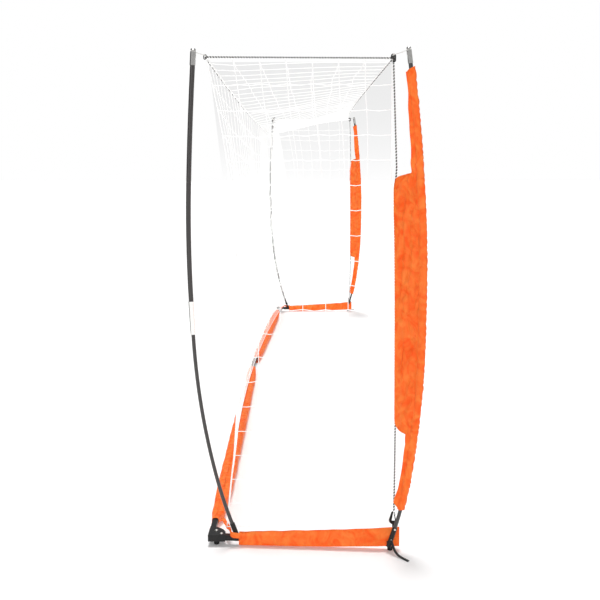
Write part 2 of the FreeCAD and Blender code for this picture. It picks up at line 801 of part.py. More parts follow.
# Ropes along the net's edges, each pulled into a shallow arc
HOOK_TOP = 26.0
for which in ("front", "rear"):
    left = corner_point(-1, which)
    right = corner_point(1, which)
    middle = Vector(0, size(which + "_rope_middle_depth"), size(which + "_rope_middle_height"))
    whole = Part.Arc(left, middle, right).toShape()
    trim = size(which + "_rope_stop") / whole.Curve.Radius
    edge = whole.Curve.toShape(whole.FirstParameter + trim, whole.LastParameter - trim)
    start = edge.valueAt(edge.FirstParameter)
    direction = edge.tangentAt(edge.FirstParameter)
    rope = tube_along(Part.Wire(edge), size("rope_radius"), start, direction)
    feature(f"top_{which}_rope", rope)
for s, side in SIDES:
    front = corner_point(s, "front")
    rear = corner_point(s, "rear")
    reach = rear - front
    reach.normalize()
    begin = front + reach * size("front_rope_stop")
    length = (rear - front).Length - size("front_rope_stop") - size("rear_rope_stop")
    feature(f"top_side_rope_{side}", Part.makeCylinder(size("rope_radius"), length, begin, reach))
    low = Vector(
        s * size("hook_reach"), size("hook_depth") - size("rope_radius"), size("hook_height") + HOOK_TOP + 0.5
    )
    drop = low - front
    drop.normalize()
    begin = front + drop * (size("front_link_height") / 2 + size("front_ring_wire") + 0.6)
    length = (low - begin).Length
    feature(f"front_rope_{side}", Part.makeCylinder(size("rope_radius"), length, begin, drop))


def oval_ring(centre, width, height, wire_radius, turn):
    """An oval link of round wire, upright in its own YZ plane."""
    straight = (height - width) / 2
    half = width / 2
    top = Vector(0, 0, straight + half)
    right_high = Vector(0, half, straight)
    right_low = Vector(0, half, -straight)
    left_high = Vector(0, -half, straight)
    left_low = Vector(0, -half, -straight)
    path = [
        Part.Arc(right_high, top, left_high).toShape(),
        Part.LineSegment(left_high, left_low).toShape(),
        Part.Arc(left_low, -top, right_low).toShape(),
        Part.LineSegment(right_low, right_high).toShape(),
    ]
    wire = Part.Wire(path)
    solid = tube_along(wire, wire_radius, Vector(0, half, straight), Vector(0, 0, 1))
    solid.Placement = Placement(centre, turn)
    return solid


# Links at the net's four top corners
links = []
for which in ("front", "rear"):
    for s, side in SIDES:
        centre = corner_point(s, which)
        width = 2 * size(which + "_ring_radius")
        height = size(which + "_link_height")
        links.append(oval_ring(centre, width, height, size(which + "_ring_wire"), Rotation()))
feature("corner_links", Part.makeCompound(links))


def pear(top_radius, top_height, low_radius, low_height, shift):
    """A pear outline as edges: two arcs and the lines that touch both, in the YZ plane."""
    gap = top_height - low_height
    tilt = math.asin((low_radius - top_radius) / gap)
    edges = []
    points = []
    for sign in (1, -1):
        for radius, height in ((low_radius, low_height), (top_radius, top_height)):
            y = sign * radius * math.cos(tilt) + shift
            z = height + radius * math.sin(tilt)
            points.append(Vector(0, y, z))
    low_right, top_right, low_left, top_left = points
    edges.append(Part.LineSegment(low_right, top_right).toShape())
    edges.append(Part.Arc(top_right, Vector(0, shift, top_height + top_radius), top_left).toShape())
    edges.append(Part.LineSegment(top_left, low_left).toShape())
    edges.append(Part.Arc(low_left, Vector(0, shift, low_height - low_radius), low_right).toShape())
    return Part.Wire(edges)


# Snap hooks at the net's front bottom corners: a pear body, and a gate on a pin
# Each pear is a top radius and its height, a low radius and its height, and a shift to the back
HOOK_OUTER = (8.0, 18.0, 16.0, -10.0, 0.0)
HOOK_INNER = (3.0, 18.0, 7.5, -9.0, -2.5)
HOOK_THICK = 8.0
GATE_WIDE = 4.4
GATE_EYE = 2.9
GATE_ROOM = 0.4
GATE_THICK = 4.0
GATE_PIVOT = Vector(0, -10.5, -13.0)
GATE_TOP = Vector(0, -6.2, 13.0)
PIN_RADIUS = 1.3
pin_shapes = []
for s, side in SIDES:
    centre = Vector(s * size("hook_reach"), size("hook_depth"), size("hook_height"))
    through = 3 * HOOK_THICK
    outer = Part.Face(pear(*HOOK_OUTER)).extrude(Vector(HOOK_THICK, 0, 0))
    inner = Part.Face(pear(*HOOK_INNER)).extrude(Vector(through, 0, 0))
    outer.translate(Vector(-HOOK_THICK / 2, 0, 0))
    inner.translate(Vector(-through / 2, 0, 0))
    gate_gap = Part.makeBox(through, 20, 22, Vector(-through / 2, -23.2, -8.5))
    slot_width = GATE_THICK + 2 * GATE_ROOM
    slot = Part.makeBox(slot_width, 20, 12, Vector(-slot_width / 2, -25.0, -18.0))
    pin_start = GATE_PIVOT - Vector(through / 2, 0, 0)
    pin_hole = Part.makeCylinder(PIN_RADIUS, through, pin_start, Vector(1, 0, 0))
    body = outer.cut(inner).cut(gate_gap).cut(slot).cut(pin_hole)
    feature(f"snap_hook_{side}", body, Placement(centre, Rotation()))

    rise = GATE_TOP - GATE_PIVOT
    gate_edge = Vector(-GATE_THICK / 2, 0, 0)
    bar = Part.makeBox(GATE_THICK, GATE_WIDE, rise.Length, gate_edge - Vector(0, GATE_WIDE / 2, 0))
    eye = Part.makeCylinder(GATE_EYE, GATE_THICK, gate_edge, Vector(1, 0, 0))
    bore = Part.makeCylinder(PIN_RADIUS + 0.05, 3 * GATE_THICK, gate_edge * 3, Vector(1, 0, 0))
    gate = bar.fuse(eye).cut(bore).removeSplitter()
    place = Placement(centre + GATE_PIVOT, Rotation(Vector(0, 0, 1), rise))
    feature(f"hook_gate_{side}", gate, place)
    pin = Part.makeCylinder(
        PIN_RADIUS, HOOK_THICK, centre + GATE_PIVOT - Vector(HOOK_THICK / 2, 0, 0), Vector(1, 0, 0)
    )
    pin_shapes.append(pin)
feature("hook_pins", Part.makeCompound(pin_shapes))

# Webbing tabs: a loop through each hook, sewn down to the side sleeve
TAB_WIDTH = 8.0
TAB_THICK = 1.8
tab_shapes = []
for s, side in SIDES:
    centre = Vector(s * size("hook_reach"), size("hook_depth"), size("hook_height"))
    gap = Vector(HOOK_THICK / 2 + 0.6, 0, 6.0)
    loop_middle = centre + Vector(0, -TAB_WIDTH / 2 - 2.5, -20.8)
    outer_half = gap + Vector(TAB_THICK, 0, TAB_THICK)
    frames = []
    for half in (outer_half, gap):
        low = loop_middle - half
        frames.append(Part.makeBox(2 * half.x, TAB_WIDTH, 2 * half.z, low))
    loop = frames[0].cut(frames[1])
    head = loop_middle - Vector(0, 0, outer_half.z)
    sewn = Vector(s * size("tab_foot_reach"), head.y, size("tab_foot_height"))
    half_strip = Vector(4, 0, 0)
    ribbon = [head - half_strip, head + half_strip, sewn + half_strip, sewn - half_strip]
    strip = Part.Face(Part.makePolygon(ribbon + ribbon[:1])).extrude(Vector(0, TAB_WIDTH, 0))
    tab_shapes.append(loop.fuse(strip).removeSplitter())
feature("hook_tabs", Part.makeCompound(tab_shapes))


def mix(a, b, share):
    return a + (b - a) * share


def sagging_edge(reach, depth, height, middle_depth, middle_height, across):
    """A point on an edge that bows evenly from its ends, at across from -1 to 1."""
    share = 1 - across * across
    return Vector(reach * across, mix(depth, middle_depth, share), mix(height, middle_height, share))


def loft_slab(sections):
    return Part.makeLoft(sections, True, False)


def quad_prism(corners, push):
    """A prism on four corners, used to cut one mesh opening."""
    wire = Part.makePolygon(corners + [corners[0]])
    return Part.Face(wire).extrude(push)


def mesh_prisms(columns, rows, point, cell_width, cell_height, push):
    """One prism for each opening of a mesh; point maps shares of width and height into place."""
    half_u = size("twine") / 2 / (cell_width * columns)
    half_v = size("twine") / 2 / (cell_height * rows)
    prisms = []
    for i in range(columns):
        for j in range(rows):
            u0 = i / columns + half_u
            u1 = (i + 1) / columns - half_u
            v0 = j / rows + half_v
            v1 = (j + 1) / rows - half_v
            corners = [point(u0, v0), point(u1, v0), point(u1, v1), point(u0, v1)]
            prisms.append(quad_prism(corners, push))
    return prisms


inset = size("net_inset")
thick = size("twine")

# Roof net: one sagging sheet cut to a square mesh
roof_front = (
    size("front_corner_reach") - inset,
    size("front_corner_depth") + inset,
    size("front_corner_height"),
    size("front_rope_middle_depth") + inset,
    size("front_rope_middle_height"),
)
roof_rear = (
    size("rear_corner_reach") - inset,
    size("rear_corner_depth") - inset,
    size("rear_corner_height"),
    size("rear_rope_middle_depth") - inset,
    size("rear_rope_middle_height"),
)


def roof_point(u, v):
    across = 2 * u - 1
    front = sagging_edge(*roof_front, across)
    rear = sagging_edge(*roof_rear, across)
    return front + (rear - front) * v


sections = []
for across in (0.0, 0.5, 1.0):
    a = roof_point(across, 0)
    b = roof_point(across, 1)
    up = Vector(0, 0, thick / 2)
    sections.append(Part.makePolygon([a - up, b - up, b + up, a + up, a - up]))
roof = loft_slab(sections)
ROOF_COLUMNS = 50
ROOF_ROWS = 6
MARGIN = 0.004


def roof_cell(u, v):
    spot = roof_point(MARGIN / 8 + u * (1 - MARGIN / 4), MARGIN + v * (1 - 2 * MARGIN))
    return Vector(spot.x, spot.y, size("rear_rope_middle_height") - 100)


tools = mesh_prisms(ROOF_COLUMNS, ROOF_ROWS, roof_cell, 108.0, 120.0, Vector(0, 0, 500))
feature("roof_net", roof.cut(Part.makeCompound(tools)))

# Back net: one sheet drawn forward between the rear rope and the back bar
back_bottom = (
    size("net_bottom_reach"),
    size("net_bottom_depth"),
    size("net_bottom_height"),
    size("net_middle_depth"),
    size("net_middle_height"),
)
back_top = (
    size("rear_corner_reach") - inset,
    size("rear_corner_depth") - inset,
    size("rear_corner_height") - inset,
    size("rear_rope_middle_depth") - inset,
    size("rear_rope_middle_height") - inset,
)


def back_point(u, v):
    across = 2 * u - 1
    low = sagging_edge(*back_bottom, across)
    high = sagging_edge(*back_top, across)
    return low + (high - low) * v


sections = []
for across in (0.0, 0.5, 1.0):
    forward = size("net_middle_forward") if across == 0.5 else size("seam_forward")
    low = back_point(across, 0)
    high = back_point(across, 1)
    middle = back_point(across, size("seam_share")) - Vector(0, forward, 0)
    push = Vector(0, -thick, 0)
    edges = [
        Part.Arc(low, middle, high).toShape(),
        Part.LineSegment(high, high + push).toShape(),
        Part.Arc(high + push, middle + push, low + push).toShape(),
        Part.LineSegment(low + push, low).toShape(),
    ]
    sections.append(Part.Wire(edges))
back = loft_slab(sections)
BACK_COLUMNS = 30
BACK_ROWS = 10


def back_cell(u, v):
    spot = back_point(MARGIN / 4 + u * (1 - MARGIN / 2), MARGIN + v * (1 - 2 * MARGIN))
    return Vector(spot.x, 600, spot.z)


tools = mesh_prisms(BACK_COLUMNS, BACK_ROWS, back_cell, 183.0, 180.0, Vector(0, -600, 0))
feature("back_net", back.cut(Part.makeCompound(tools)))

# Side nets: flat leaning sheets with a curved rear edge
SIDE_LEAN = 0.0808
SIDE_TOE = -0.04
SIDE_COLUMNS = 7
SIDE_ROWS = 18
side_top = size("front_corner_height") - inset
side_low_front = 104.0
side_low_rear = 70.0


def side_reach(y, z):
    """How far from the middle the side net's plane is at depth y and height z."""
    lean = SIDE_LEAN * (size("front_corner_height") - inset - z)
    return size("front_corner_reach") + lean + SIDE_TOE * (y - size("front_corner_depth"))


def seam_depth(share):
    """Depth of the rear seam at a share of its height."""
    straight = mix(size("net_bottom_depth"), size("rear_corner_depth") - inset, share)
    peak = size("seam_share")
    bend = share / peak if share < peak else (1 - share) / (1 - peak)
    return straight - size("seam_forward") * (1 - (1 - bend) ** 2)


for s, side in SIDES:

    def side_spot(u, v):
        z_front = mix(side_low_front, side_top, v)
        z_rear = mix(side_low_rear, side_top + 4, v)
        front_y = mix(size("hook_depth") - 4, size("front_corner_depth"), v) + inset
        z = mix(z_front, z_rear, u)
        y = mix(front_y, seam_depth(v) - 2, u)
        return Vector(s * side_reach(y, z), y, z)

    outline = [side_spot(0, 0)]
    outline += [side_spot(1, k / SIDE_ROWS) for k in range(SIDE_ROWS + 1)]
    outline += [side_spot(0, 1), side_spot(0, 0)]
    sheet_face = Part.Face(Part.makePolygon(outline))
    push = Vector(s * thick, 0, 0)
    panel = sheet_face.extrude(push)

    def side_cell(u, v):
        spot = side_spot(0.006 + u * 0.988, 0.003 + v * 0.994)
        return Vector(s * 2500, spot.y, spot.z)

    tools = mesh_prisms(SIDE_COLUMNS, SIDE_ROWS, side_cell, 100.0, 101.0, Vector(s * 600, 0, 0))
    for which in ("front", "rear"):
        corner = corner_point(s, which) - Vector(300, 0, 0)
        tools.append(
            Part.makeCylinder(size(which + "_link_height") / 2 + 4, 600, corner, Vector(1, 0, 0))
        )
    notch_low = Vector(s * size("hook_reach") - 100, size("hook_depth") - 40, 0)
    tools.append(Part.makeBox(200, 60, size("hook_height") + HOOK_TOP + 6, notch_low))
    feature(f"side_net_{side}", panel.cut(Part.makeCompound(tools)))


def rounded_box(width, height, corner):
    """Corner and arc-middle offsets of a rounded rectangle about its centre, as eight edges."""
    w = width / 2
    h = height / 2
    r = corner
    k = r * (1 - math.sqrt(0.5))
    return [
        ((w, -h + r), None, (w, h - r)),
        ((w, h - r), (w - k, h - k), (w - r, h)),
        ((w - r, h), None, (-w + r, h)),
        ((-w + r, h), (-w + k, h - k), (-w, h - r)),
        ((-w, h - r), None, (-w, -h + r)),
        ((-w, -h + r), (-w + k, -h + k), (-w + r, -h)),
        ((-w + r, -h), None, (w - r, -h)),
        ((w - r, -h), (w - k, -h + k), (w, -h + r)),
    ]


def tube_section(place, centre, width, height, corner):
    """A rounded rectangle as a wire, across the X axis of a placement."""
    edges = []
    for a, b, c in rounded_box(width, height, corner):
        marks = [
            place.multVec(Vector(centre[0], centre[1] + p[0], centre[2] + p[1])) if p else None
            for p in (a, b, c)
        ]
        if b is None:
            edges.append(Part.LineSegment(marks[0], marks[2]).toShape())
        else:
            edges.append(Part.Arc(*marks).toShape())
    return Part.Wire(edges)


def cloth_tube(place, stations):
    """A cloth tube lofted through stations (run, across, up, width, height, corner)."""
    wall = size("cloth")
    outer = []
    inner = []
    for run, across, up, width, height, corner in stations:
        outer.append(tube_section(place, (run, across, up), width, height, corner))
        inner.append(
            tube_section(place, (run, across, up), width - 2 * wall, height - 2 * wall, corner - wall)
        )
    outer_solid = Part.makeLoft(outer, True, True)
    inner_solid = Part.makeLoft(inner, True, True)
    return outer_solid.cut(inner_solid)


# Loose cloth sleeves on the back bar, through stations (run, width, height, shift to the mouth)
GROUND_GAP = 1.0
for s, side in SIDES:
    start, degrees, length = bar_frame(s)
    place = Placement(start, turn_z(degrees))
    inward = 1 if s < 0 else -1
    lowest = GROUND_GAP - size("tube_centre_height")
    near = size("bar_sleeve_gap")
    far = abs(s * size("bar_sleeve_start") - start.x) / abs(math.cos(math.radians(degrees)))
    profile = (
        (near, 46.0, 52.0, 2.0),
        (near + 180, 66.0, 54.0, 5.0),
        (mix(near, far, 0.5), 78.0, 58.0, 6.0),
        (far - 420, 74.0, 58.0, 7.0),
        (far - 130, 56.0, 54.0, 5.0),
        (far, 50.0, 52.0, 5.0),
    )
    stations = [
        (run, inward * shift, lowest + high / 2, wide, high, 16.0) for run, wide, high, shift in profile
    ]
    feature(f"back_sleeve_{side}", cloth_tube(place, stations))

# Cloth sleeves on the side tubes, hanging from the net's bottom edge: stations (run, low, high)
SLIT_ROOM = 6.0
FOOT_ROOM = 1.5
SIDE_SLEEVE_WIDTH = 31.0
for s, side in SIDES:
    start, degrees, length = side_frame(s)
    place = Placement(start, turn_z(degrees))
    base = -size("tube_centre_height")
    profile = (
        (98.0, 6.0, 60.0),
        (260.0, 7.0, 66.0),
        (470.0, 10.0, 77.0),
        (640.0, 16.5, 90.0),
        (744.0, 20.3, 99.0),
    )
    stations = [
        (run, 0.0, base + (low + high) / 2, SIDE_SLEEVE_WIDTH, high - low, 8.0)
        for run, low, high in profile
    ]
    sleeve = cloth_tube(place, stations)
    foot, turn = pole_frame(s, "front")
    up = turn.multVec(Vector(0, 0, 1))
    slit = Part.makeCylinder(size("socket_radius") + SLIT_ROOM, 140, foot - up * 20, up)
    foot_hole = Part.makeCylinder(size("foot_radius") + FOOT_ROOM, 40)
    share = (size("side_rear_depth") - size("front_foot_depth")) / (
        size("side_rear_depth") - size("side_front_depth")
    )
    foot_hole.translate(along(start, degrees, share * length, 0, -start.z - 10))
    feature(f"side_sleeve_{side}", sleeve.cut(slit).cut(foot_hole))


def sleeve_section(s, height, edge_half, width, grow):
    """The front sleeve's outline at a height: round over the pole, thinning to its inner edge."""
    pole = pole_point("front", s, height)
    share = (size("front_corner_height") - height) / (size("front_corner_height") - size("hook_height"))
    rope_x = s * mix(size("front_corner_reach"), size("hook_reach"), share)
    rope_y = mix(size("front_corner_depth"), size("hook_depth") - 4, share)
    inward = Vector(rope_x - pole.x, rope_y - pole.y, 0)
    reach = inward.Length
    inward.normalize()
    sideways = Vector(-inward.y, inward.x, 0)
    radius = size("pole_sleeve_radius") + grow
    full = reach - size("pad_edge_gap") if width is None else width - radius
    end = full + grow
    half = edge_half + grow

    def mark(run, across):
        spot = pole + inward * run + sideways * across
        return Vector(spot.x, spot.y, height)

    slant = radius * DIAGONAL
    rounding = half * 0.9
    return Part.Wire(
        [
            Part.Arc(mark(0, radius), mark(-slant, slant), mark(-radius, 0)).toShape(),
            Part.Arc(mark(-radius, 0), mark(-slant, -slant), mark(0, -radius)).toShape(),
            Part.LineSegment(mark(0, -radius), mark(end - rounding, -half)).toShape(),
            Part.LineSegment(mark(end - rounding, -half), mark(end, 0)).toShape(),
            Part.LineSegment(mark(end, 0), mark(end - rounding, half)).toShape(),
            Part.LineSegment(mark(end - rounding, half), mark(0, radius)).toShape(),
        ]
    )


# Front pole sleeves with their wide pads
SLEEVE_STEP = 130.0
CASING_EDGE = 9.0
PAD_EDGE = 3.0
for s, side in SIDES:
    low = size("pole_sleeve_bottom")
    high = size("pole_sleeve_top")
    pad_low = size("pad_bottom")
    pad_high = size("pad_top")
    heights = [(low, "narrow"), (mix(low, pad_low, 0.35), "narrow"), (mix(low, pad_low, 0.7), "narrow")]
    heights.append((pad_low, "narrow"))
    count = int((pad_high - pad_low) / SLEEVE_STEP)
    for k in range(count + 1):
        heights.append((mix(pad_low + 28, pad_high - 22, k / count), "pad"))
    heights.append((pad_high, "narrow"))
    for k in (1, 2, 3):
        heights.append((mix(pad_high, high, k / 3), "narrow"))
    outer = []
    for height, kind in heights:
        if kind == "pad":
            outer.append(sleeve_section(s, height, PAD_EDGE, None, 0.0))
        else:
            outer.append(sleeve_section(s, height, CASING_EDGE, size("pole_sleeve_width"), 0.0))
    solid = Part.makeLoft(outer, True, True)
    runs = POLE_RUNS["front"]
    chain, end, lean = run_points(runs)
    edges = []
    for marks, turn_by in chain:
        points = [Vector(0, y, z) for y, z in marks]
        if turn_by:
            edges.append(Part.Arc(*points).toShape())
        else:
            edges.append(Part.LineSegment(points[0], points[2]).toShape())
    bore = tube_along(Part.Wire(edges), size("pole_sleeve_bore"), Vector(0, 0, 0), Vector(0, 0, 1))
    foot, turn = pole_frame(s, "front")
    bore.Placement = Placement(foot, turn)
    feature(f"front_sleeve_{side}", solid.cut(bore))


def rounded_path(points, label):
    """Straight runs joined by tangent arcs, each as large as its two runs allow."""
    arcs = []
    for before, corner, after in zip(points[:-2], points[1:-1], points[2:]):
        back = before - corner
        ahead = after - corner
        turn_angle = math.pi - back.getAngle(ahead)
        cut = 0.45 * min(back.Length, ahead.Length)
        radius = cut / math.tan(turn_angle / 2)
        back.normalize()
        ahead.normalize()
        halfway = back + ahead
        halfway.normalize()
        centre = corner + halfway * math.hypot(cut, radius)
        print(f"{label}: radius {radius:.0f} mm at a turn of {math.degrees(turn_angle):.0f} degrees")
        arcs.append((corner + back * cut, centre - halfway * radius, corner + ahead * cut))
    edges = []
    here = points[0]
    for a, b, c in arcs:
        edges.append(Part.LineSegment(here, a).toShape())
        edges.append(Part.Arc(a, b, c).toShape())
        here = c
    edges.append(Part.LineSegment(here, points[-1]).toShape())
    return Part.Wire(edges)


# Elastic cords pulled tight from the net's top corners to the pole tips
ELASTIC_SAG = 3.0
ELASTIC_OUT = 4.6
ELASTIC_DROP = 3.0
TIP_GAP = 1.5
for which in ("front", "rear"):
    cords = []
    for s, side in SIDES:
        corner = corner_point(s, which)
        groove_at = size("tip_run") - size("tip_cap_run") - size("tip_groove_run") / 2
        tip = section_place(which, s, POLE_RUNS[which] + [(groove_at, 0.0)]).Base
        begin = corner + Vector(s * ELASTIC_OUT, 0, size(which + "_link_height") / 2 - ELASTIC_DROP)
        reach = tip - begin
        reach.normalize()
        stop = size(which + "_ferrule_radius") + TIP_GAP
        end = tip - reach * stop
        total = end - begin
        points = [begin, begin + total * 0.52 + Vector(0, 0, -ELASTIC_SAG), end]
        path = rounded_path(points, f"{which} elastic {side}")
        first = points[1] - points[0]
        cord = tube_along(path, size("elastic_radius"), points[0], first)
        expected = math.pi * size("elastic_radius") ** 2 * path.Length
        print(f"{which} elastic {side}: {path.Length:.1f} mm, volume ratio {cord.Volume / expected:.4f}")
        cords.append(cord)
    feature(f"{which}_tip_cords", Part.makeCompound(cords))

# Webbing tails that hang from the front sockets and lie on the ground
STRAP_SHAPE = ((0.0, 56.0), (11.0, 32.0), (27.0, 12.0), (52.0, 3.2), (93.0, 2.2))
STRAP_GAP = 2.6
tails = []
for s, side in SIDES:
    foot, turn = pole_frame(s, "front")
    out = size("socket_radius") + size("rivet_height") + STRAP_GAP
    rivet = at_pole(s, "front", RIVET_RUNS[0]) + turn.multVec(Vector(s * out, 0, 0))
    away = Vector(s * 0.74, -0.67, 0)
    away.normalize()
    points = [
        Vector(rivet.x + away.x * run, rivet.y + away.y * run, up)
        for run, up in STRAP_SHAPE
    ]
    path = rounded_path(points, f"strap tail {side}")
    across = Vector(-away.y, away.x, 0) * (size("strap_width") / 2)
    first = points[1] - points[0]
    first.normalize()
    normal = first.cross(across)
    normal.normalize()
    normal = normal * (size("strap_thick") / 2)
    p = points[0]
    lower = [p - across - normal, p + across - normal]
    upper = [p + across + normal, p - across + normal]
    section = Part.makePolygon(lower + upper + lower[:1])
    shell = Part.BRepOffsetAPI.MakePipeShell(path)
    shell.setBiNormalMode(across)
    shell.add(section)
    shell.build()
    shell.makeSolid()
    tail = shell.shape()
    expected = size("strap_width") * size("strap_thick") * path.Length
    print(f"strap tail {side}: {path.Length:.1f} mm, volume ratio {tail.Volume / expected:.4f}")
    tails.append(tail)
feature("strap_tails", Part.makeCompound(tails))

doc.recompute()

# Every object has to be sound before anything is written
faults = []
for thing in doc.Objects:
    if "Invalid" in thing.State or "Error" in thing.State:
        faults.append(f"{thing.Label}: {thing.State}")
for thing in parts:
    if thing.Shape.isNull() or not thing.Shape.isValid() or not thing.Shape.Solids:
        faults.append(f"{thing.Label}: no sound solid")
if faults:
    raise RuntimeError("; ".join(faults))

whole = FreeCAD.BoundBox()
for thing in parts:
    whole.add(thing.Shape.BoundBox)
    thing.Shape.exportStep(f"parts/{thing.Label}.step")
print(f"{len(parts)} parts")
for axis in "XYZ":
    low = getattr(whole, axis + "Min")
    high = getattr(whole, axis + "Max")
    print(f"{axis} {low:.1f} to {high:.1f}")
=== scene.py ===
# %% [markdown]
# A wide ball goal, dressed for its portrait.
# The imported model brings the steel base, the four bowed poles, the hooks and the feet, each at its real size.
# This lesson adds what is soft: the net, its ropes, the orange sleeves, the elastics and the webbing.
# Soft things need thousands of small shapes, so they are made as meshes here, around the plain solids.
# Everything is in metres. +Z is up, X runs along the goal's width, and the mouth faces -Y.

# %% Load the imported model
import json
import math
import bpy
import numpy as np
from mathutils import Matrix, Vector, noise


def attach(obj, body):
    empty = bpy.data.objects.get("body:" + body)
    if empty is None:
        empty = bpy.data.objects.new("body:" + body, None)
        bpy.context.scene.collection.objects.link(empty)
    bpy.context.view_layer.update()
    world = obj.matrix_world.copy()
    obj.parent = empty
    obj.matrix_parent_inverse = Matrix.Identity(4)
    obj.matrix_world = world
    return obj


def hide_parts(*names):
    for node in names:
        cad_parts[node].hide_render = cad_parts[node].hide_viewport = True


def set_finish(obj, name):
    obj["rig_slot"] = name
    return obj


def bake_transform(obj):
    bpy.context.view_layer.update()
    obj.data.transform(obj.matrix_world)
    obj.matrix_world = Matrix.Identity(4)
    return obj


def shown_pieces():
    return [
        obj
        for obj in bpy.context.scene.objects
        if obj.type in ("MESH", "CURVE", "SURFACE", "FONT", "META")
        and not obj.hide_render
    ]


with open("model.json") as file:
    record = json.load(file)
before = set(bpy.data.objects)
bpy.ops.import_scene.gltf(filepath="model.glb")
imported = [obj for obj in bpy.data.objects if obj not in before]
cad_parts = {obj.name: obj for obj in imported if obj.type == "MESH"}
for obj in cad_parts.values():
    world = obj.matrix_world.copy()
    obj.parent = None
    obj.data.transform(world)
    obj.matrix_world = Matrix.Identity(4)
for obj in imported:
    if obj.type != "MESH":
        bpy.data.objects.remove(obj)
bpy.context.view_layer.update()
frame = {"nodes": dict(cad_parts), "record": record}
SIDES = ((-1, "left"), (1, "right"))

# %% [markdown]
# The camera stands beyond the goal's left end, at a person's eye height, and looks along the goal.
# Its place was worked out from the photo: the near and far frames are alike, so how much smaller
# the far one looks fixes the distance, and the lens follows from that.

# %% Set up the camera
CAMERA_AT = Vector((-6.327, -0.0596, 1.551))
PITCH_DOWN = math.radians(8.85)
YAW_LEFT = math.radians(1.33)
LENS_MM = 54.06
camera_data = bpy.data.cameras.new("goal_camera")
camera_data.lens = LENS_MM
camera_data.sensor_width = 36.0
camera_data.clip_end = 200.0
camera = bpy.data.objects.new("goal_camera", camera_data)
camera.location = CAMERA_AT
look = Vector((
    math.cos(PITCH_DOWN) * math.cos(YAW_LEFT),
    math.cos(PITCH_DOWN) * math.sin(YAW_LEFT),
    -math.sin(PITCH_DOWN),
))
camera.rotation_euler = look.to_track_quat("-Z", "Y").to_euler()
bpy.context.scene.collection.objects.link(camera)
bpy.context.scene.camera = camera
print("camera looks along", tuple(round(c, 3) for c in look))

# %% [markdown]
# Each pole is a chain of straight and bent runs, so its centreline can be walked in small steps
# while the lean changes evenly along each run. The elastics, the sleeves and the webbing all need it.

# %% Walk along a pole
RUNS = (0.060, 0.190, 0.615, 0.131, 0.450, 0.450, 0.062)
BOWS = {
    "front": {"foot": (2.9155, -0.3347), "lean_in": 2.2, "leans": (-18.0, -9.8, -0.5, 4.3, 7.6)},
    "rear": {"foot": (2.8615, 0.2716), "lean_in": 0.4, "leans": (20.8, 14.5, 2.5, -2.0, -3.8)},
}
FOOT_HEIGHT = 0.028
STEP = 0.004


def bow_line(which, s):
    """Points along a pole's centreline from its foot to its tip, and the distance at each."""
    bow = BOWS[which]
    foot, low, middle, high, tip = bow["leans"]
    leans = (foot, foot, low, middle, middle, high, tip, tip)
    y = z = gone = 0.0
    marks = [(y, z)]
    distances = [0.0]
    for run, lean_from, lean_to in zip(RUNS, leans, leans[1:]):
        count = round(run / STEP)
        for k in range(count):
            lean = math.radians(lean_from + (lean_to - lean_from) * (k + 0.5) / count)
            y += run / count * math.sin(lean)
            z += run / count * math.cos(lean)
            gone += run / count
            marks.append((y, z))
            distances.append(gone)
    tilt = math.radians(bow["lean_in"])
    foot_x, foot_y = bow["foot"]
    points = []
    for y, z in marks:
        points.append((s * (foot_x - z * math.sin(tilt)), foot_y + y, FOOT_HEIGHT + z * math.cos(tilt)))
    return np.array(points), np.array(distances)


def at_distance(line, distances, where):
    return np.array([np.interp(where, distances, line[:, k]) for k in range(3)])


def at_height(line, z):
    return np.array([np.interp(z, line[:, 2], line[:, k]) for k in range(3)])


print("front pole tip at", np.round(bow_line("front", -1)[0][-1], 3))

# %% [markdown]
# Rope, twine and elastic are all round strands along a path. A bevelled curve could make each, but
# the net has hundreds of strands. So one helper makes one mesh from many strands at once: a ring of
# points round each path point, and a strip of faces between the rings.

# %% Make strands
def directions(path):
    """Which way the path goes at each of its points."""
    along = np.gradient(path, axis=0)
    return along / np.linalg.norm(along, axis=1)[:, None]


def ring_frames(path):
    """Two directions square to a path at each of its points."""
    along = directions(path)
    overall = np.abs(path[-1] - path[0])
    reference = np.zeros(3)
    reference[int(np.argmin(overall))] = 1.0
    sideways = np.cross(along, reference)
    sideways /= np.linalg.norm(sideways, axis=1)[:, None]
    return sideways, np.cross(along, sideways)


def strand_mesh(name, paths, radius, sides=6, frames=ring_frames):
    """One mesh object of round strands, each closed at both ends."""
    points = []
    faces = []
    start = 0
    turns = np.linspace(0, 2 * math.pi, sides, endpoint=False)
    for path in paths:
        path = np.asarray(path, dtype=float)
        first, second = frames(path)
        rings = (
            path[:, None, :]
            + radius * np.cos(turns)[None, :, None] * first[:, None, :]
            + radius * np.sin(turns)[None, :, None] * second[:, None, :]
        )
        points.append(rings.reshape(-1, 3))
        count = len(path)
        for k in range(count - 1):
            low = start + k * sides
            for j in range(sides):
                faces.append((low + j, low + (j + 1) % sides, low + sides + (j + 1) % sides, low + sides + j))
        faces.append(tuple(start + j for j in reversed(range(sides))))
        faces.append(tuple(start + (count - 1) * sides + j for j in range(sides)))
        start += count * sides
    return new_piece(name, np.concatenate(points), faces)


def new_piece(name, points, faces):
    """A smooth-shaded mesh object at the origin."""
    mesh = bpy.data.meshes.new(name)
    mesh.from_pydata([tuple(p) for p in points], [], faces)
    mesh.polygons.foreach_set("use_smooth", [True] * len(mesh.polygons))
    mesh.update()
    piece = bpy.data.objects.new(name, mesh)
    bpy.context.scene.collection.objects.link(piece)
    return piece


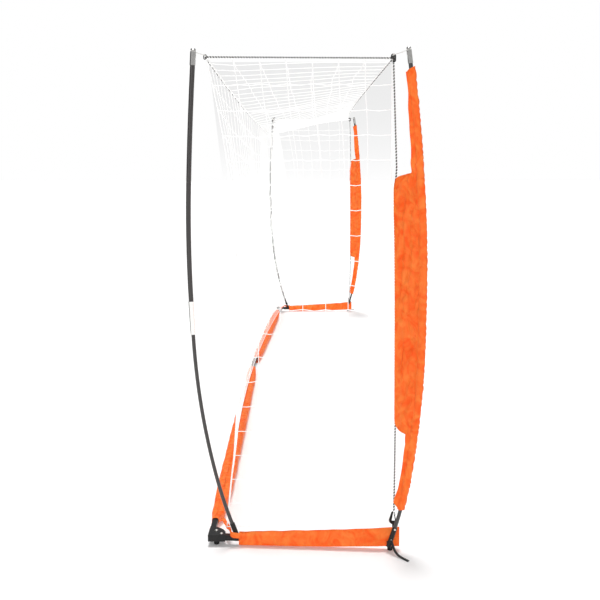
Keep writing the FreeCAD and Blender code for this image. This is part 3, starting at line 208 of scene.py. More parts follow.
def spline_points(route, name):
    """The smooth line of a route: points read from a NURBS spline with the route as its control points."""
    curve = bpy.data.curves.new(name, "CURVE")
    curve.dimensions = "3D"
    spline = curve.splines.new("NURBS")
    spline.points.add(len(route) - 1)
    for point, place in zip(spline.points, route):
        point.co = (*place, 1.0)
    spline.order_u = 3
    spline.use_endpoint_u = True
    spline.resolution_u = 12
    holder = bpy.data.objects.new(name, curve)
    mesh = bpy.data.meshes.new_from_object(holder)
    points = np.array([tuple(v.co) for v in mesh.vertices])
    bpy.data.objects.remove(holder)
    bpy.data.curves.remove(curve)
    bpy.data.meshes.remove(mesh)
    return points


def gone_along(path):
    """How far along the path each of its points lies."""
    return np.concatenate([[0], np.cumsum(np.linalg.norm(np.diff(path, axis=0), axis=1))])


def length_of(path):
    return float(gone_along(path)[-1])


def unit(vector):
    return vector / np.linalg.norm(vector)


def mix(a, b, share):
    return a + (b - a) * share


print("front pole:", round(length_of(bow_line("front", 1)[0]), 3), "m long")

# %% [markdown]
# Cords come first. Four short elastics pull the net's top corners out to the pole tips.
# Each leaves the link at the net's corner, sags by a few millimetres, and ends in a ring round the
# groove of the tip. The tip moves when a pole is drawn out of its socket, so the ring goes with the
# pole's body; the elastic itself is not attached to a body.

# %% Tie the elastics to the pole tips
CORNERS = {"front": (2.715, -0.3392, 1.9416), "rear": (2.686, 0.3989, 1.9504)}
ELASTIC_RADIUS = 0.0017
ELASTIC_SAG = 0.003
LINK_HEIGHT = {"front": 0.030, "rear": 0.018}
TIE_ASIDE = 0.0046
TIE_BELOW_TOP = 0.003
GROOVE_BELOW_TIP = 0.010
GROOVE_AT = sum(RUNS) - GROOVE_BELOW_TIP
GROOVE_NECK = {"front": 0.0060, "rear": 0.0068}
KNOT = {"front": 0.0042, "rear": 0.0030}


def circle_path(centre, first, second, radius, count):
    turn = np.linspace(0, 2 * math.pi, count + 1)
    return centre + radius * (np.outer(np.cos(turn), first) + np.outer(np.sin(turn), second))


def knot_path(centre, size, count=60):
    """A small overhand knot: a trefoil curve."""
    t = np.linspace(0, 2 * math.pi, count)
    x = np.sin(t) + 2 * np.sin(2 * t)
    y = np.cos(t) - 2 * np.cos(2 * t)
    z = -np.sin(3 * t)
    return centre + size / 3 * np.stack([x, z, y], axis=1)


def ring_about(axis):
    """Frames for a strand that circles an axis."""
    axis = np.asarray(axis, dtype=float)

    def frames(path):
        along = directions(path)
        outward = np.cross(along, axis)
        outward /= np.linalg.norm(outward, axis=1)[:, None]
        return outward, np.cross(along, outward)

    return frames


for which in ("front", "rear"):
    for s, side in SIDES:
        line, distances = bow_line(which, s)
        groove = at_distance(line, distances, GROOVE_AT)
        pole_up = unit(line[-1] - line[-8])
        x, y, z = CORNERS[which]
        begin = np.array([s * (x + TIE_ASIDE), y, z + LINK_HEIGHT[which] / 2 - TIE_BELOW_TOP])
        reach = unit(groove - begin)
        end = groove - reach * (GROOVE_NECK[which] + ELASTIC_RADIUS)
        middle = begin + (end - begin) * 0.52 + np.array([0, 0, -ELASTIC_SAG])
        path = spline_points([begin, middle, end], "elastic_route")
        elastic = strand_mesh(f"{which}_elastic_{side}", [path], ELASTIC_RADIUS, 8)
        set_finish(elastic, "white_elastic")
        body = f"pole_{which}_{side}"
        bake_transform(elastic)

        across = unit(np.cross(pole_up, reach))
        ahead = np.cross(across, pole_up)
        ring = circle_path(groove, ahead, across, GROOVE_NECK[which] + ELASTIC_RADIUS, 28)
        tip_ring = strand_mesh(
            f"{which}_elastic_ring_{side}", [ring], ELASTIC_RADIUS, 8, ring_about(pole_up)
        )
        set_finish(tip_ring, "white_elastic")
        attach(tip_ring, body)
        knot = strand_mesh(
            f"{which}_elastic_knot_{side}", [knot_path(begin, KNOT[which])], ELASTIC_RADIUS, 6
        )
        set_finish(knot, "white_elastic")
        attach(knot, "root")
        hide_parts(f"{which}_tip_cords")
        print(elastic.name, round(length_of(path), 4), "m")

# %% [markdown]
# A ribbed webbing tail hangs from each front socket and lies on the ground. It is a flat cord,
# 12 mm wide. Its ribs are real geometry: the strap gets a little thicker at each one.

# %% Lay the webbing tails
STRAP_WIDTH = 0.012
STRAP_THICK = 0.0025
RIB_SPACING = 0.0032
RIB_RISE = 0.0007
# How far out from the rivet the strap is, and how high
STRAP_SHAPE = ((0.0, 0.056), (0.011, 0.032), (0.027, 0.012), (0.052, 0.0032), (0.093, 0.0022))
STRAP_AWAY = (0.74, -0.67)
RIVET_RUN = 0.028
RIVET_OUT = 0.0156


def webbing(name, path, across, width, thick, rib_spacing, rib_rise):
    """A ribbed strap along a path; across is the level direction of its width."""
    along = directions(path)
    sideways = np.tile(across, (len(path), 1))
    up = np.cross(along, sideways)
    up /= np.linalg.norm(up, axis=1)[:, None]
    gone = gone_along(path)
    swell = rib_rise * np.abs(np.sin(math.pi * gone / rib_spacing))
    lower = ((-0.5, -0.25), (-0.44, -0.5), (0.44, -0.5), (0.5, -0.25))
    outline = lower + tuple((-wide, -high) for wide, high in lower)
    points = []
    for k in range(len(path)):
        for wide, high in outline:
            rise = high * thick + math.copysign(swell[k], high) * (abs(high) > 0.4)
            points.append(path[k] + sideways[k] * wide * width + up[k] * rise)
    sides = len(outline)
    faces = []
    for k in range(len(path) - 1):
        for j in range(sides):
            a = k * sides + j
            b = k * sides + (j + 1) % sides
            faces.append((a, b, b + sides, a + sides))
    faces.append(tuple(reversed(range(sides))))
    faces.append(tuple((len(path) - 1) * sides + j for j in range(sides)))
    return new_piece(name, points, faces)


def spaced(path, step):
    """The same path with evenly spaced points."""
    gone = gone_along(path)
    where = np.linspace(0, gone[-1], max(2, round(gone[-1] / step)))
    return np.stack([np.interp(where, gone, path[:, k]) for k in range(3)], axis=1)


for s, side in SIDES:
    line, distances = bow_line("front", s)
    rivet = at_distance(line, distances, RIVET_RUN)
    tilt = math.radians(BOWS["front"]["lean_in"])
    rivet = rivet + np.array([s * math.cos(tilt), 0, math.sin(tilt)]) * RIVET_OUT
    away = unit(np.array([s * STRAP_AWAY[0], STRAP_AWAY[1], 0.0]))
    route = [(rivet[0] + away[0] * run, rivet[1] + away[1] * run, up) for run, up in STRAP_SHAPE]
    path = spaced(spline_points(route, "strap_route"), RIB_SPACING / 4)
    level = np.array([-away[1], away[0], 0.0])
    tail = webbing(f"strap_tail_{side}", path, level, STRAP_WIDTH, STRAP_THICK, RIB_SPACING, RIB_RISE)
    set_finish(tail, "black_webbing")
    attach(tail, "root")
    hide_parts("strap_tails")
    print(tail.name, round(length_of(path), 4), "m")

# %% [markdown]
# The ropes round the net's edges are dark, and the net's white twine is wound round them along the
# whole length, which makes them look dashed from a distance. A striped material could paint that, but
# it would be flat at the edges. So each rope is a core with a real helix wound on it.

# %% Stretch the edge ropes
ROPE_CORE = 0.0033
WRAP_TWINE = 0.0017
CROSS_PITCH = 0.052
SIDE_PITCH = 0.0110
UPRIGHT_PITCH = 0.0118
WRAP_STEPS = 9
WRAP_DRIFT = 1.1
FRONT_ROPE_MIDDLE = (-0.2562, 1.8716)
REAR_ROPE_MIDDLE = (0.3064, 1.7350)
HOOK_AT = (2.858, -0.3546, 0.122)
UPRIGHT_STOP = 0.0192
ROPE_STOP = {"front": 0.011, "rear": 0.008}
# The upright rope's depth at each height, where the pad's hem draws it towards the pole
UPRIGHT_DEPTH = (
    (0.151, -0.3580),
    (0.50, -0.3600),
    (1.0, -0.3565),
    (1.21, -0.3530),
    (1.37, -0.3485),
    (1.44, -0.3480),
    (1.505, -0.3560),
    (1.9416, -0.3392),
)


def rope_between(left, right, middle_y, middle_z, count=120):
    """A rope that bows evenly between its two ends."""
    across = np.linspace(-1, 1, count)
    share = 1 - across**2
    x = np.interp(across, (-1, 1), (left[0], right[0]))
    y = left[1] + (middle_y - left[1]) * share
    z = left[2] + (middle_z - left[2]) * share
    return np.stack([x, y, z], axis=1)


def helix_round(path, radius, pitch, turn_steps):
    """A line that winds round a path."""
    fine = spaced(path, pitch / turn_steps)
    first, second = ring_frames(fine)
    drift = [WRAP_DRIFT * noise.noise(Vector(p) * 5.0) for p in fine]
    angle = 2 * math.pi * np.arange(len(fine)) / turn_steps + np.array(drift)
    return fine + radius * (np.cos(angle)[:, None] * first + np.sin(angle)[:, None] * second)


def trimmed(path, stop, far_stop):
    """A path without its first and last few millimetres."""
    gone = gone_along(path)
    where = np.linspace(stop, gone[-1] - far_stop, max(2, round(gone[-1] / 0.01)))
    return np.stack([np.interp(where, gone, path[:, k]) for k in range(3)], axis=1)


def corner(which, s):
    x, y, z = CORNERS[which]
    return np.array([s * x, y, z])


def axis_frames(path):
    """Frames for a wound twine: square to it, without twisting along the rope."""
    along = directions(path)
    first = np.cross(along, unit(path[-1] - path[0]))
    first /= np.linalg.norm(first, axis=1)[:, None]
    return first, np.cross(along, first)


ropes = {}
for which, middle in (("front", FRONT_ROPE_MIDDLE), ("rear", REAR_ROPE_MIDDLE)):
    bow = rope_between(corner(which, -1), corner(which, 1), *middle)
    ropes[f"top_{which}_rope"] = trimmed(bow, ROPE_STOP[which], ROPE_STOP[which])


def upright_at(s, z):
    """Where the front upright rope is at a height."""
    bottom, top = UPRIGHT_DEPTH[0][0], UPRIGHT_DEPTH[-1][0]
    x = mix(HOOK_AT[0], CORNERS["front"][0], (z - bottom) / (top - bottom))
    y = np.interp(z, [row[0] for row in UPRIGHT_DEPTH], [row[1] for row in UPRIGHT_DEPTH])
    return np.array([s * x, float(y), z])


for s, side in SIDES:
    ropes[f"top_side_rope_{side}"] = trimmed(
        np.array([corner("front", s), corner("rear", s)]), ROPE_STOP["front"], ROPE_STOP["rear"]
    )
    heights = np.linspace(UPRIGHT_DEPTH[-1][0], UPRIGHT_DEPTH[0][0], 60)
    upright = np.array([upright_at(s, z) for z in heights])
    ropes[f"front_rope_{side}"] = trimmed(upright, UPRIGHT_STOP, 0.0)
for name, path in ropes.items():
    pitch = CROSS_PITCH
    if name.startswith("top_side"):
        pitch = SIDE_PITCH
    if name.startswith("front_rope"):
        pitch = UPRIGHT_PITCH
    core = strand_mesh(name + "_core", [path], ROPE_CORE, 10)
    winding = helix_round(path, ROPE_CORE, pitch, WRAP_STEPS)
    wrap = strand_mesh(name + "_wrap", [winding], WRAP_TWINE, 6, axis_frames)
    for piece, finish in ((core, "edge_rope"), (wrap, "white_net")):
        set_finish(piece, finish)
        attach(piece, "root")
    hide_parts(name)
    print(name, round(length_of(path), 3), "m")

# %% [markdown]
# The ropes' ends are knotted together round each front corner's link. A trefoil curve is a simple
# closed knot, and thick enough strand makes its turns touch as in a knot pulled tight.

# %% Knot the front corners
CORNER_KNOT = 0.0105
CORNER_KNOT_STRAND = 0.0030
for s, side in SIDES:
    turns = knot_path(corner("front", s), CORNER_KNOT)
    knot = strand_mesh(f"corner_knot_{side}", [turns], CORNER_KNOT_STRAND, 8)
    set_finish(knot, "edge_rope")
    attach(knot, "root")
    print(knot.name, "of", round(length_of(turns), 3), "m of rope")

# %% [markdown]
# At its foot each upright rope ends in an eye of white twine that goes through the snap hook.

# %% Loop the rope through the hook
EYE_RADIUS = 0.0064
EYE_LIFT = 0.0225
HOOK_FORWARD = 0.0025
for s, side in SIDES:
    x, y, z = HOOK_AT
    centre = np.array([s * x, y - HOOK_FORWARD, z + EYE_LIFT])
    eye_path = circle_path(centre, np.array([1.0, 0, 0]), np.array([0, 0, 1.0]), EYE_RADIUS, 24)
    eye = strand_mesh(f"hook_eye_{side}", [eye_path], WRAP_TWINE, 8, ring_about((0, 1, 0)))
    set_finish(eye, "white_net")
    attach(eye, "root")
    print(eye.name, "at", np.round(centre, 3))

# %% [markdown]
# The net is knotless square mesh of 100 mm. A net this size is lines, not a surface, so each strand
# is a real strand. One function of two shares, u along and v across, says where each panel hangs.
# The strands follow it, sag a little between their joints, and are pulled about a little, so that
# no two meshes are alike. A thicker joint sits at every crossing.

# %% Describe where the net's panels hang
TWINE_RADIUS = 0.0015
JOINT_RADIUS = TWINE_RADIUS * 1.9
NET_INSET = 0.005
SEAM_FORWARD = 0.085
SEAM_SHARE = 0.57
SIDE_LEAN = 0.0808
SIDE_TOE = -0.04
NET_LOW_CORNER = (2.830, 0.3194, 0.080)
NET_LOW_MIDDLE = (0.4284, 0.066)
NET_MIDDLE_FORWARD = 0.035
SIDE_FOOT_FRONT = 0.104
SIDE_FOOT_REAR = 0.070
SIDE_RISE = 0.004
SIDE_CLEAR = 0.0017
HOOK_TO_NET = 0.014


def bowed(reach, y, z, middle_y, middle_z, across):
    """A level edge that bows evenly from its ends to its middle."""
    share = 1 - across**2
    return reach * across, mix(y, middle_y, share), mix(z, middle_z, share)


def roof_place(u, v):
    across = 2 * u - 1
    fx, fy, fz = CORNERS["front"]
    rx, ry, rz = CORNERS["rear"]
    front_y, front_z = FRONT_ROPE_MIDDLE
    rear_y, rear_z = REAR_ROPE_MIDDLE
    front = bowed(fx - NET_INSET, fy + NET_INSET, fz, front_y + NET_INSET, front_z, across)
    rear = bowed(rx - NET_INSET, ry - NET_INSET, rz, rear_y - NET_INSET, rear_z, across)
    return np.stack([mix(a, b, v) for a, b in zip(front, rear)], axis=-1)


def forward_pull(v, amount):
    """How far the net is drawn forward at a share of its height."""
    bend = np.where(v < SEAM_SHARE, v / SEAM_SHARE, (1 - v) / (1 - SEAM_SHARE))
    return amount * (1 - (1 - bend) ** 2)


def back_place(u, v):
    across = 2 * u - 1
    rx, ry, rz = (value - NET_INSET for value in CORNERS["rear"])
    rear_y, rear_z = (value - NET_INSET for value in REAR_ROPE_MIDDLE)
    low = bowed(*NET_LOW_CORNER, *NET_LOW_MIDDLE, across)
    high = bowed(rx, ry, rz, rear_y, rear_z, across)
    x, y, z = (mix(a, b, v) for a, b in zip(low, high))
    amount = mix(NET_MIDDLE_FORWARD, SEAM_FORWARD, across**2)
    return np.stack([x, y - forward_pull(v, amount), z], axis=-1)


def side_place(s):
    def place(u, v):
        fx, fy, fz = CORNERS["front"]
        top = fz - NET_INSET
        z = mix(mix(SIDE_FOOT_FRONT, top, v), mix(SIDE_FOOT_REAR, top + SIDE_RISE, v), u)
        front_y = mix(HOOK_AT[1] + HOOK_TO_NET, fy, v) + NET_INSET
        straight = mix(NET_LOW_CORNER[1], CORNERS["rear"][1] - NET_INSET, v)
        rear_y = straight - forward_pull(v, SEAM_FORWARD)
        y = mix(front_y, rear_y, u)
        reach = fx + SIDE_LEAN * (top - z) + SIDE_TOE * (y - fy) + SIDE_CLEAR
        return np.stack([s * reach, y, z], axis=-1)

    return place

# %% [markdown]
# Each strand is a path of four short pieces to a mesh. Near a panel's edges nothing is shifted, so
# the net still meets its ropes. The beads are plain eight-sided ones, since there are many of them.

# %% Knot the net
SEGMENTS = 4
SAG = 0.006
DRIFT = 0.012
# One place in the noise for each direction. noise_vector would do this in one call, but it gives
# other values each time Blender starts, and the net has to come out the same.
DRIFT_OFFSETS = (Vector((0, 0, 0)), Vector((19.3, -11.5, -7.9)), Vector((-16.3, 10.2, 12.7)))


def drift(points, seed):
    """Small smooth shifts that make every mesh a little different."""
    shifts = np.empty_like(points)
    for k, p in enumerate(points):
        spot = Vector(p) * 2.6 + Vector((seed, 3.1 * seed, 7.7))
        shifts[k] = [noise.noise(spot + far_off) for far_off in DRIFT_OFFSETS]
    return shifts


def strands_of(place, columns, rows, seed):
    """The strands of one panel, both ways, and its crossings."""
    paths = []
    for k in range(columns + 1):
        v = np.linspace(0, 1, rows * SEGMENTS + 1)
        paths.append(("up", np.full_like(v, k / columns), v))
    for k in range(rows + 1):
        u = np.linspace(0, 1, columns * SEGMENTS + 1)
        paths.append(("along", u, np.full_like(u, k / rows)))
    made = []
    for kind, u, v in paths:
        points = place(u, v)
        from_sides = np.minimum(u, 1 - u) * columns
        from_ends = np.minimum(v, 1 - v) * rows
        free = np.clip(np.minimum(from_sides, from_ends), 0, 1)[:, None]
        points = points + DRIFT * free * drift(points, seed)
        if kind == "along":
            points[:, 2] -= SAG * free[:, 0] * np.sin(math.pi * (u * columns % 1)) ** 2
        made.append(points)
    crossings = np.concatenate([path[::SEGMENTS] for path in made[: columns + 1]])
    return made, crossings


def joints_mesh(name, places, radius):
    """A small eight-sided bead at each crossing."""
    corners = radius * np.array([(1, 0, 0), (-1, 0, 0), (0, 1, 0), (0, -1, 0), (0, 0, 1), (0, 0, -1)])
    sides = ((0, 2, 4), (2, 1, 4), (1, 3, 4), (3, 0, 4), (2, 0, 5), (1, 2, 5), (3, 1, 5), (0, 3, 5))
    points = (places[:, None, :] + corners[None]).reshape(-1, 3)
    faces = [tuple(6 * k + j for j in side) for k in range(len(places)) for side in sides]
    return new_piece(name, points, faces)


# Each panel: where it hangs, and how many meshes it has along and up
PANELS = {
    "roof_net": (roof_place, 54, 7),
    "back_net": (back_place, 55, 19),
    "side_net_left": (side_place(-1), 7, 19),
    "side_net_right": (side_place(1), 7, 19),
}
for seed, (name, (place, columns, rows)) in enumerate(PANELS.items(), start=1):
    paths, crossings = strands_of(place, columns, rows, seed)
    strands = strand_mesh(name + "_strands", paths, TWINE_RADIUS, 5)
    joints = joints_mesh(name + "_joints", crossings, JOINT_RADIUS)
    for piece in (strands, joints):
        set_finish(piece, "white_net")
        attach(piece, "root")
    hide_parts(name)
    print(name, columns, "by", rows, "meshes,", len(strands.data.vertices), "points")

# %% [markdown]
# All sleeves are made in one way: rings of points, one after the other along the tube or pole, with
# faces between them. A Solidify modifier then gives the sheet its thickness. Folds come from noise:
# where it crosses zero it makes a sharp crease, and between those lines it leaves soft hollows.
# A cloth simulation could make them too, but it would come out a little different at each run.

# %% Make cloth
CLOTH = 0.0008


def ridges(x, y, seed):
    """Cloth folds: smooth noise turned into sharp creases and soft hollows, from about -1 to 1."""
    n = noise.noise(Vector((x, y, seed)))
    m = noise.noise(Vector((1.9 * x + 5, 2.1 * y, seed + 9)))
    return (1 - 2.8 * abs(n) ** 0.85) * 0.75 + 0.5 * m


def smooth_step(x, low, high):
    t = min(1.0, max(0.0, (x - low) / (high - low)))
    return t * t * (3 - 2 * t)


def interpolated(table, where, column=1):
    """A value read between the rows of a table."""
    return float(np.interp(where, [row[0] for row in table], [row[column] for row in table]))


def apply_modifiers(piece):
    """Bakes a piece's modifiers into its mesh."""
    graph = bpy.context.evaluated_depsgraph_get()
    mesh = bpy.data.meshes.new_from_object(piece.evaluated_get(graph))
    old = piece.data
    piece.modifiers.clear()
    piece.data = mesh
    bpy.data.meshes.remove(old)


def cloth_sheet(name, points, per_ring):
    """A sheet of cloth through rings of points, each ring open at its seam."""
    faces = []
    for k in range(len(points) // per_ring - 1):
        for j in range(per_ring - 1):
            a = k * per_ring + j
            faces.append((a, a + 1, a + 1 + per_ring, a + per_ring))
    piece = new_piece(name, points, faces)
    thickness = piece.modifiers.new("cloth", "SOLIDIFY")
    thickness.thickness = CLOTH
    thickness.offset = 0.0
    apply_modifiers(piece)
    return piece


print("cloth is", CLOTH * 1000, "mm thick")

# %% [markdown]
# The sleeves on the front poles are one sheet each, rolled round the pole. At the top and bottom
# they are narrow casings. Between, the sheet widens to a pad that reaches across to the upright
# rope and wraps it in a hem. Each height gets one ring of points, and folds are added to the rings.

# %% Shape the front sleeves
CASING = 0.0136
HEM = 0.0062
SLEEVE_LOW = 0.180
SLEEVE_HIGH = 1.889
# How far the narrow casing reaches inwards from the pole at each height
CASING_REACH = (
    (0.18, 0.030),
    (0.30, 0.029),
    (0.44, 0.031),
    (0.50, 0.048),
    (1.50, 0.048),
    (1.56, 0.033),
    (1.74, 0.027),
    (1.80, 0.0205),
    (1.89, 0.0205),
)
# How much of its full width the pad has at each height
PAD_FOOT = ((0.476, 0.0), (0.482, 0.34), (0.489, 0.66), (0.498, 0.87), (0.512, 0.98), (0.526, 1.0))
PAD_TOP = ((1.458, 1), (1.472, 0.98), (1.480, 0.92), (1.486, 0.80), (1.491, 0.58), (1.496, 0.3), (1.501, 0))
PAD_SHARE = PAD_FOOT + PAD_TOP
# How much higher the right-hand pad sits on its pole than the left one, at its foot and its top
PAD_LIFT = {-1: (0.0, 0.0), 1: (0.090, 0.060)}
TOP_SLANT = 0.62
LOW_FLAP = 0.026
SCALLOP = 0.028
SEAM_AT = 0.0175


def folds_at(run, z, s):
    """The pad's long folds: some upright, some slanting away from the pole."""
    upright = ridges(run * 30 + z * 2.0, z * 6.5, 2.0 + s)
    slanting = ridges(run * 22 - z * 11, z * 13 + run * 12, 21.0 + s)
    return 0.62 * upright + 0.48 * slanting


def section_half(run, end, hem, seam):
    """Half the sleeve's thickness at a distance from the pole's middle."""
    round_part = math.sqrt(max(0.0, CASING**2 - run**2)) if run < CASING else 0.0
    hem_run = run - (end - hem)
    hem_part = math.sqrt(max(0.0, hem**2 - hem_run**2)) if abs(hem_run) < hem else 0.0
    panel = 0.0014 + 0.0022 * seam * math.sin(math.pi * min(1.0, run / end))
    return max(round_part, hem_part, panel if run < end - hem else 0.0)


# Points along each side of the sleeve's section, and steps round the pole at its end
FLANK = 22
CAP = 10


def front_sleeve(s, side):
    """The cloth of one front pole: a ring of points at each height."""
    line = bow_line("front", s)[0]
    foot_lift, top_lift = PAD_LIFT[s]
    heights = []
    z = SLEEVE_LOW
    while z < SLEEVE_HIGH:
        heights.append(z)
        near_edge = min(abs(z - 0.50 - foot_lift), abs(z - 1.48 - top_lift)) < 0.03
        z += 0.003 if near_edge else 0.0065
    heights.append(SLEEVE_HIGH)
    points = []
    for z in heights:
        pole = at_height(line, z)
        rope = upright_at(s, z)
        spot_z = z - mix(foot_lift, top_lift, min(1.0, max(0.0, z - 0.5)))
        inward = np.array([rope[0] - pole[0], rope[1] - pole[1], 0.0])
        gap = np.linalg.norm(inward)
        inward /= gap
        turned = smooth_step(spot_z, 1.49, 1.58) + 1 - smooth_step(spot_z, 0.42, 0.50)
        inward = mix(inward, np.array([-s * 0.34, 0.94, 0.0]), turned)
        inward /= np.linalg.norm(inward)
        sideways = np.array([-inward[1], inward[0], 0.0])
        wide = interpolated(PAD_SHARE, spot_z)
        narrow = interpolated(CASING_REACH, mix(spot_z, z, smooth_step(z, 1.62, 1.80)))
        narrow += 0.0035 * noise.noise(Vector((z * 11, s, 4)))
        end = mix(narrow, gap + HEM * 0.7, wide)
        hem = mix(0.0022, HEM, wide)
        ring = []
        for k in range(FLANK + 1):
            run = end * (1 - k / FLANK)
            ring.append((run, -section_half(run, end, hem, wide)))
        for k in range(1, CAP):
            angle = math.pi * k / CAP
            ring.append((-CASING * math.sin(angle), -CASING * math.cos(angle)))
        for k in range(FLANK + 1):
            run = end * k / FLANK
            ring.append((run, section_half(run, end, hem, wide)))
        at_top = smooth_step(z, SLEEVE_HIGH - 0.07, SLEEVE_HIGH)
        at_foot = 1 - smooth_step(z, SLEEVE_LOW, SLEEVE_LOW + 0.09)
        slip = 3.0 * noise.noise(Vector((z * 14, s, 7)))
        puff = 0.0046 * abs(math.sin(math.pi * z / SCALLOP + slip))
        puff *= 0.7 + 0.6 * noise.noise(Vector((z * 23, s, 3)))
        for run, across in ring:
            share_out = min(1.0, max(0.0, run / max(end, 1e-6)))
            loose = mix(0.75 * share_out, math.sin(math.pi * min(1.0, share_out * 1.02)) ** 0.7, wide)
            fold = folds_at(run, z, s) * mix(0.0045, 0.0105, wide)
            face = 1.5 if across > 0 else 0.0
            gather = 0.0018 * noise.noise(Vector((run * 60, z * 46, s + face))) * (1 - 0.5 * at_top)
            crease = 0.0016 * wide * math.exp(-(((run - SEAM_AT) / 0.0024) ** 2))
            swell = 0.55 * puff * (0 < run < CASING)
            width = abs(across) + max(gather, -0.0008) + swell - crease
            offset = math.copysign(max(width, 0.0004), across) + loose * fold
            outward = puff * max(0.0, -run / CASING)
            spot = pole + inward * (run - outward) + sideways * offset
            rise = LOW_FLAP * share_out**2 * at_foot - TOP_SLANT * run * at_top
            points.append(spot + np.array([0, 0, rise]))
    return cloth_sheet(f"front_sleeve_cloth_{side}", points, len(ring))


for s, side in SIDES:
    sleeve = front_sleeve(s, side)
    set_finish(sleeve, "orange_cloth")
    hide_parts(f"front_sleeve_{side}")
    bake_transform(sleeve)

# %% [markdown]
# The base tubes wear loose pockets of the same cloth. The side pockets stand on edge, because the
# net's lower edge pulls their tops up. The back pockets lie on the ground, wider than the tube in them.

# %% Shape the side sleeves
SIDE_REAR = (2.858, 0.3654)
SIDE_FRONT = (2.893, -0.3686)
# The pocket's stations: distance from the rear corner, foot and top
SIDE_POCKET = (
    (0.098, 0.006, 0.058),
    (0.260, 0.007, 0.066),
    (0.470, 0.010, 0.077),
    (0.640, 0.0165, 0.088),
    (0.744, 0.0205, 0.098),
)
# Half the pocket's width round the tube and at its top edge, and how high the round part goes
POCKET_HALF = 0.0146
POCKET_TOP_HALF = 0.0030
POCKET_BODY_TOP = 0.048


def pocket_ring(low, high, half_low, half_high, body_top):
    """A pocket's section from its top edge, down one side, under, and up again."""
    right = []
    count = 9
    for k in range(count):
        z = mix(high, body_top, k / (count - 1))
        half = mix(half_high, half_low, smooth_step(k / (count - 1), 0, 1))
        right.append((half, z))
    right.append((half_low, mix(body_top, low + 0.006, 0.5)))
    right.append((half_low, low + 0.006))
    right.append((half_low - 0.0018, low + 0.0018))
    right.append((half_low - 0.006, low))
    right.append((half_low * 0.3, low - 0.0006))
    left = [(-x, z) for x, z in reversed(right)]
    return right + left


for s, side in SIDES:
    rear = np.array([s * SIDE_REAR[0], SIDE_REAR[1], 0.0])
    front = np.array([s * SIDE_FRONT[0], SIDE_FRONT[1], 0.0])
    ahead = unit(front - rear)
    outward = np.array([-ahead[1], ahead[0], 0.0])
    if outward[0] * s < 0:
        outward = -outward
    rings = []
    for run in np.linspace(SIDE_POCKET[0][0], SIDE_POCKET[-1][0], 150):
        low = interpolated(SIDE_POCKET, run, 1)
        high = interpolated(SIDE_POCKET, run, 2)
        ring = []
        tuck = smooth_step(run, 0.655, 0.672) * (1 - smooth_step(run, 0.735, 0.75))
        for x, z in pocket_ring(low, high, POCKET_HALF, POCKET_TOP_HALF, POCKET_BODY_TOP):
            height = (z - low) / (high - low)
            loose = math.sin(math.pi * min(1.0, max(0.0, height))) ** 0.5
            fold = ridges(run * 15, z * 30 + run * 8, 3.0 + s) * 0.0030
            fan = math.atan2(z - 0.045, 0.80 - run)
            pull = 0.0030 * math.sin(15 * fan + 2.0 * noise.noise(Vector((run * 8, 1, s))))
            pull *= smooth_step(run, 0.50, 0.66) * (1 - 0.5 * smooth_step(run, 0.72, 0.744))
            diamond = math.sin(88 * (run + z)) * math.sin(88 * (run - z) + 1.0)
            diamond *= 0.0026 * (1 - smooth_step(run, 0.11, 0.24))
            out_face = x > 0
            bulge = 0.0022 * smooth_step(run, 0.715, 0.735) * (1 - smooth_step(run, 0.737, 0.744))
            shift = fold + pull + diamond * out_face
            loosened = loose * (shift * (1 - tuck * 0.7) + math.copysign(bulge, x))
            x_out = x * (1 - 0.16 * tuck * out_face) + loosened
            wave = 0.0026 * noise.noise(Vector((run * 20, 2, s))) if z > 0.05 else 0.0
            ring.append(rear + ahead * run + outward * x_out + np.array([0, 0, z + wave]))
        rings.append(ring)
    sleeve = cloth_sheet(f"side_sleeve_cloth_{side}", sum(rings, []), len(ring))
    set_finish(sleeve, "orange_cloth")
    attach(sleeve, "root")
    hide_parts(f"side_sleeve_{side}")

# %% [markdown]
# A strip of the same cloth runs over each rear corner, from the back sleeve's end to a short flap on
# the outer face of the side sleeve. It keeps the two pockets from sliding apart. It twists as it
# turns the corner, so its width turns from level to upright along the way.

# %% Lay the corner strips
STRIP_ROUTE = (
    (2.712, 0.3500, 0.052),
    (2.760, 0.3380, 0.0605),
    (2.835, 0.3120, 0.0625),
    (2.8790, 0.3030, 0.0560),
    (2.8815, 0.2850, 0.0485),
    (2.8815, 0.2600, 0.0480),
)
STRIP_WIDTH = 0.017
for s, side in SIDES:
    route = [np.array([s * x, y, z]) for x, y, z in STRIP_ROUTE]
    path = spaced(spline_points(route, "strip_route"), 0.006)
    rings = []
    for k, spot in enumerate(path):
        ahead = unit(path[min(k + 1, len(path) - 1)] - path[max(k - 1, 0)])
        lean = smooth_step(k / len(path), 0.58, 0.76)
        level = unit(np.cross(ahead, np.array([0, 0, 1.0])))
        level *= 1 if level[1] < 0 else -1
        across = unit(mix(level, np.array([0, 0, -1.0]), lean))
        width = STRIP_WIDTH * (1 + 0.40 * lean)
        ring = []
        for wide in np.linspace(-0.5, 0.5, 7):
            sag = 0.0016 * noise.noise(Vector((k * 0.35, wide * 3, s)))
            ring.append(spot + across * wide * width + np.array([0, 0, sag]))
        rings.append(ring)
    strip = cloth_sheet(f"corner_strip_{side}", sum(rings, []), len(ring))
    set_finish(strip, "orange_cloth")
    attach(strip, "root")
    print(strip.name, round(length_of(path), 3), "m")

# %% [markdown]
# The back sleeves are the widest. Each runs from near the middle joint to the corner bracket, lies
# loose on the ground, and is drawn in round the tube at its corner end. A table of stations gives its
# width and height along the way, and each station is a rounded box of points.

# %% Shape the back sleeves
TUBE_MIDDLE = 0.0340
BAR_JOINT = (0.300, 0.4454)
BAR_CORNER = (2.840, 0.3814)
SLEEVE_REACH = 2.700
SLEEVE_GAP = 0.158
CLOSED_WIDTH = 0.029
CLOSED_HEIGHT = 0.030
CLOSING_RUN = 0.080
AROUND = 28


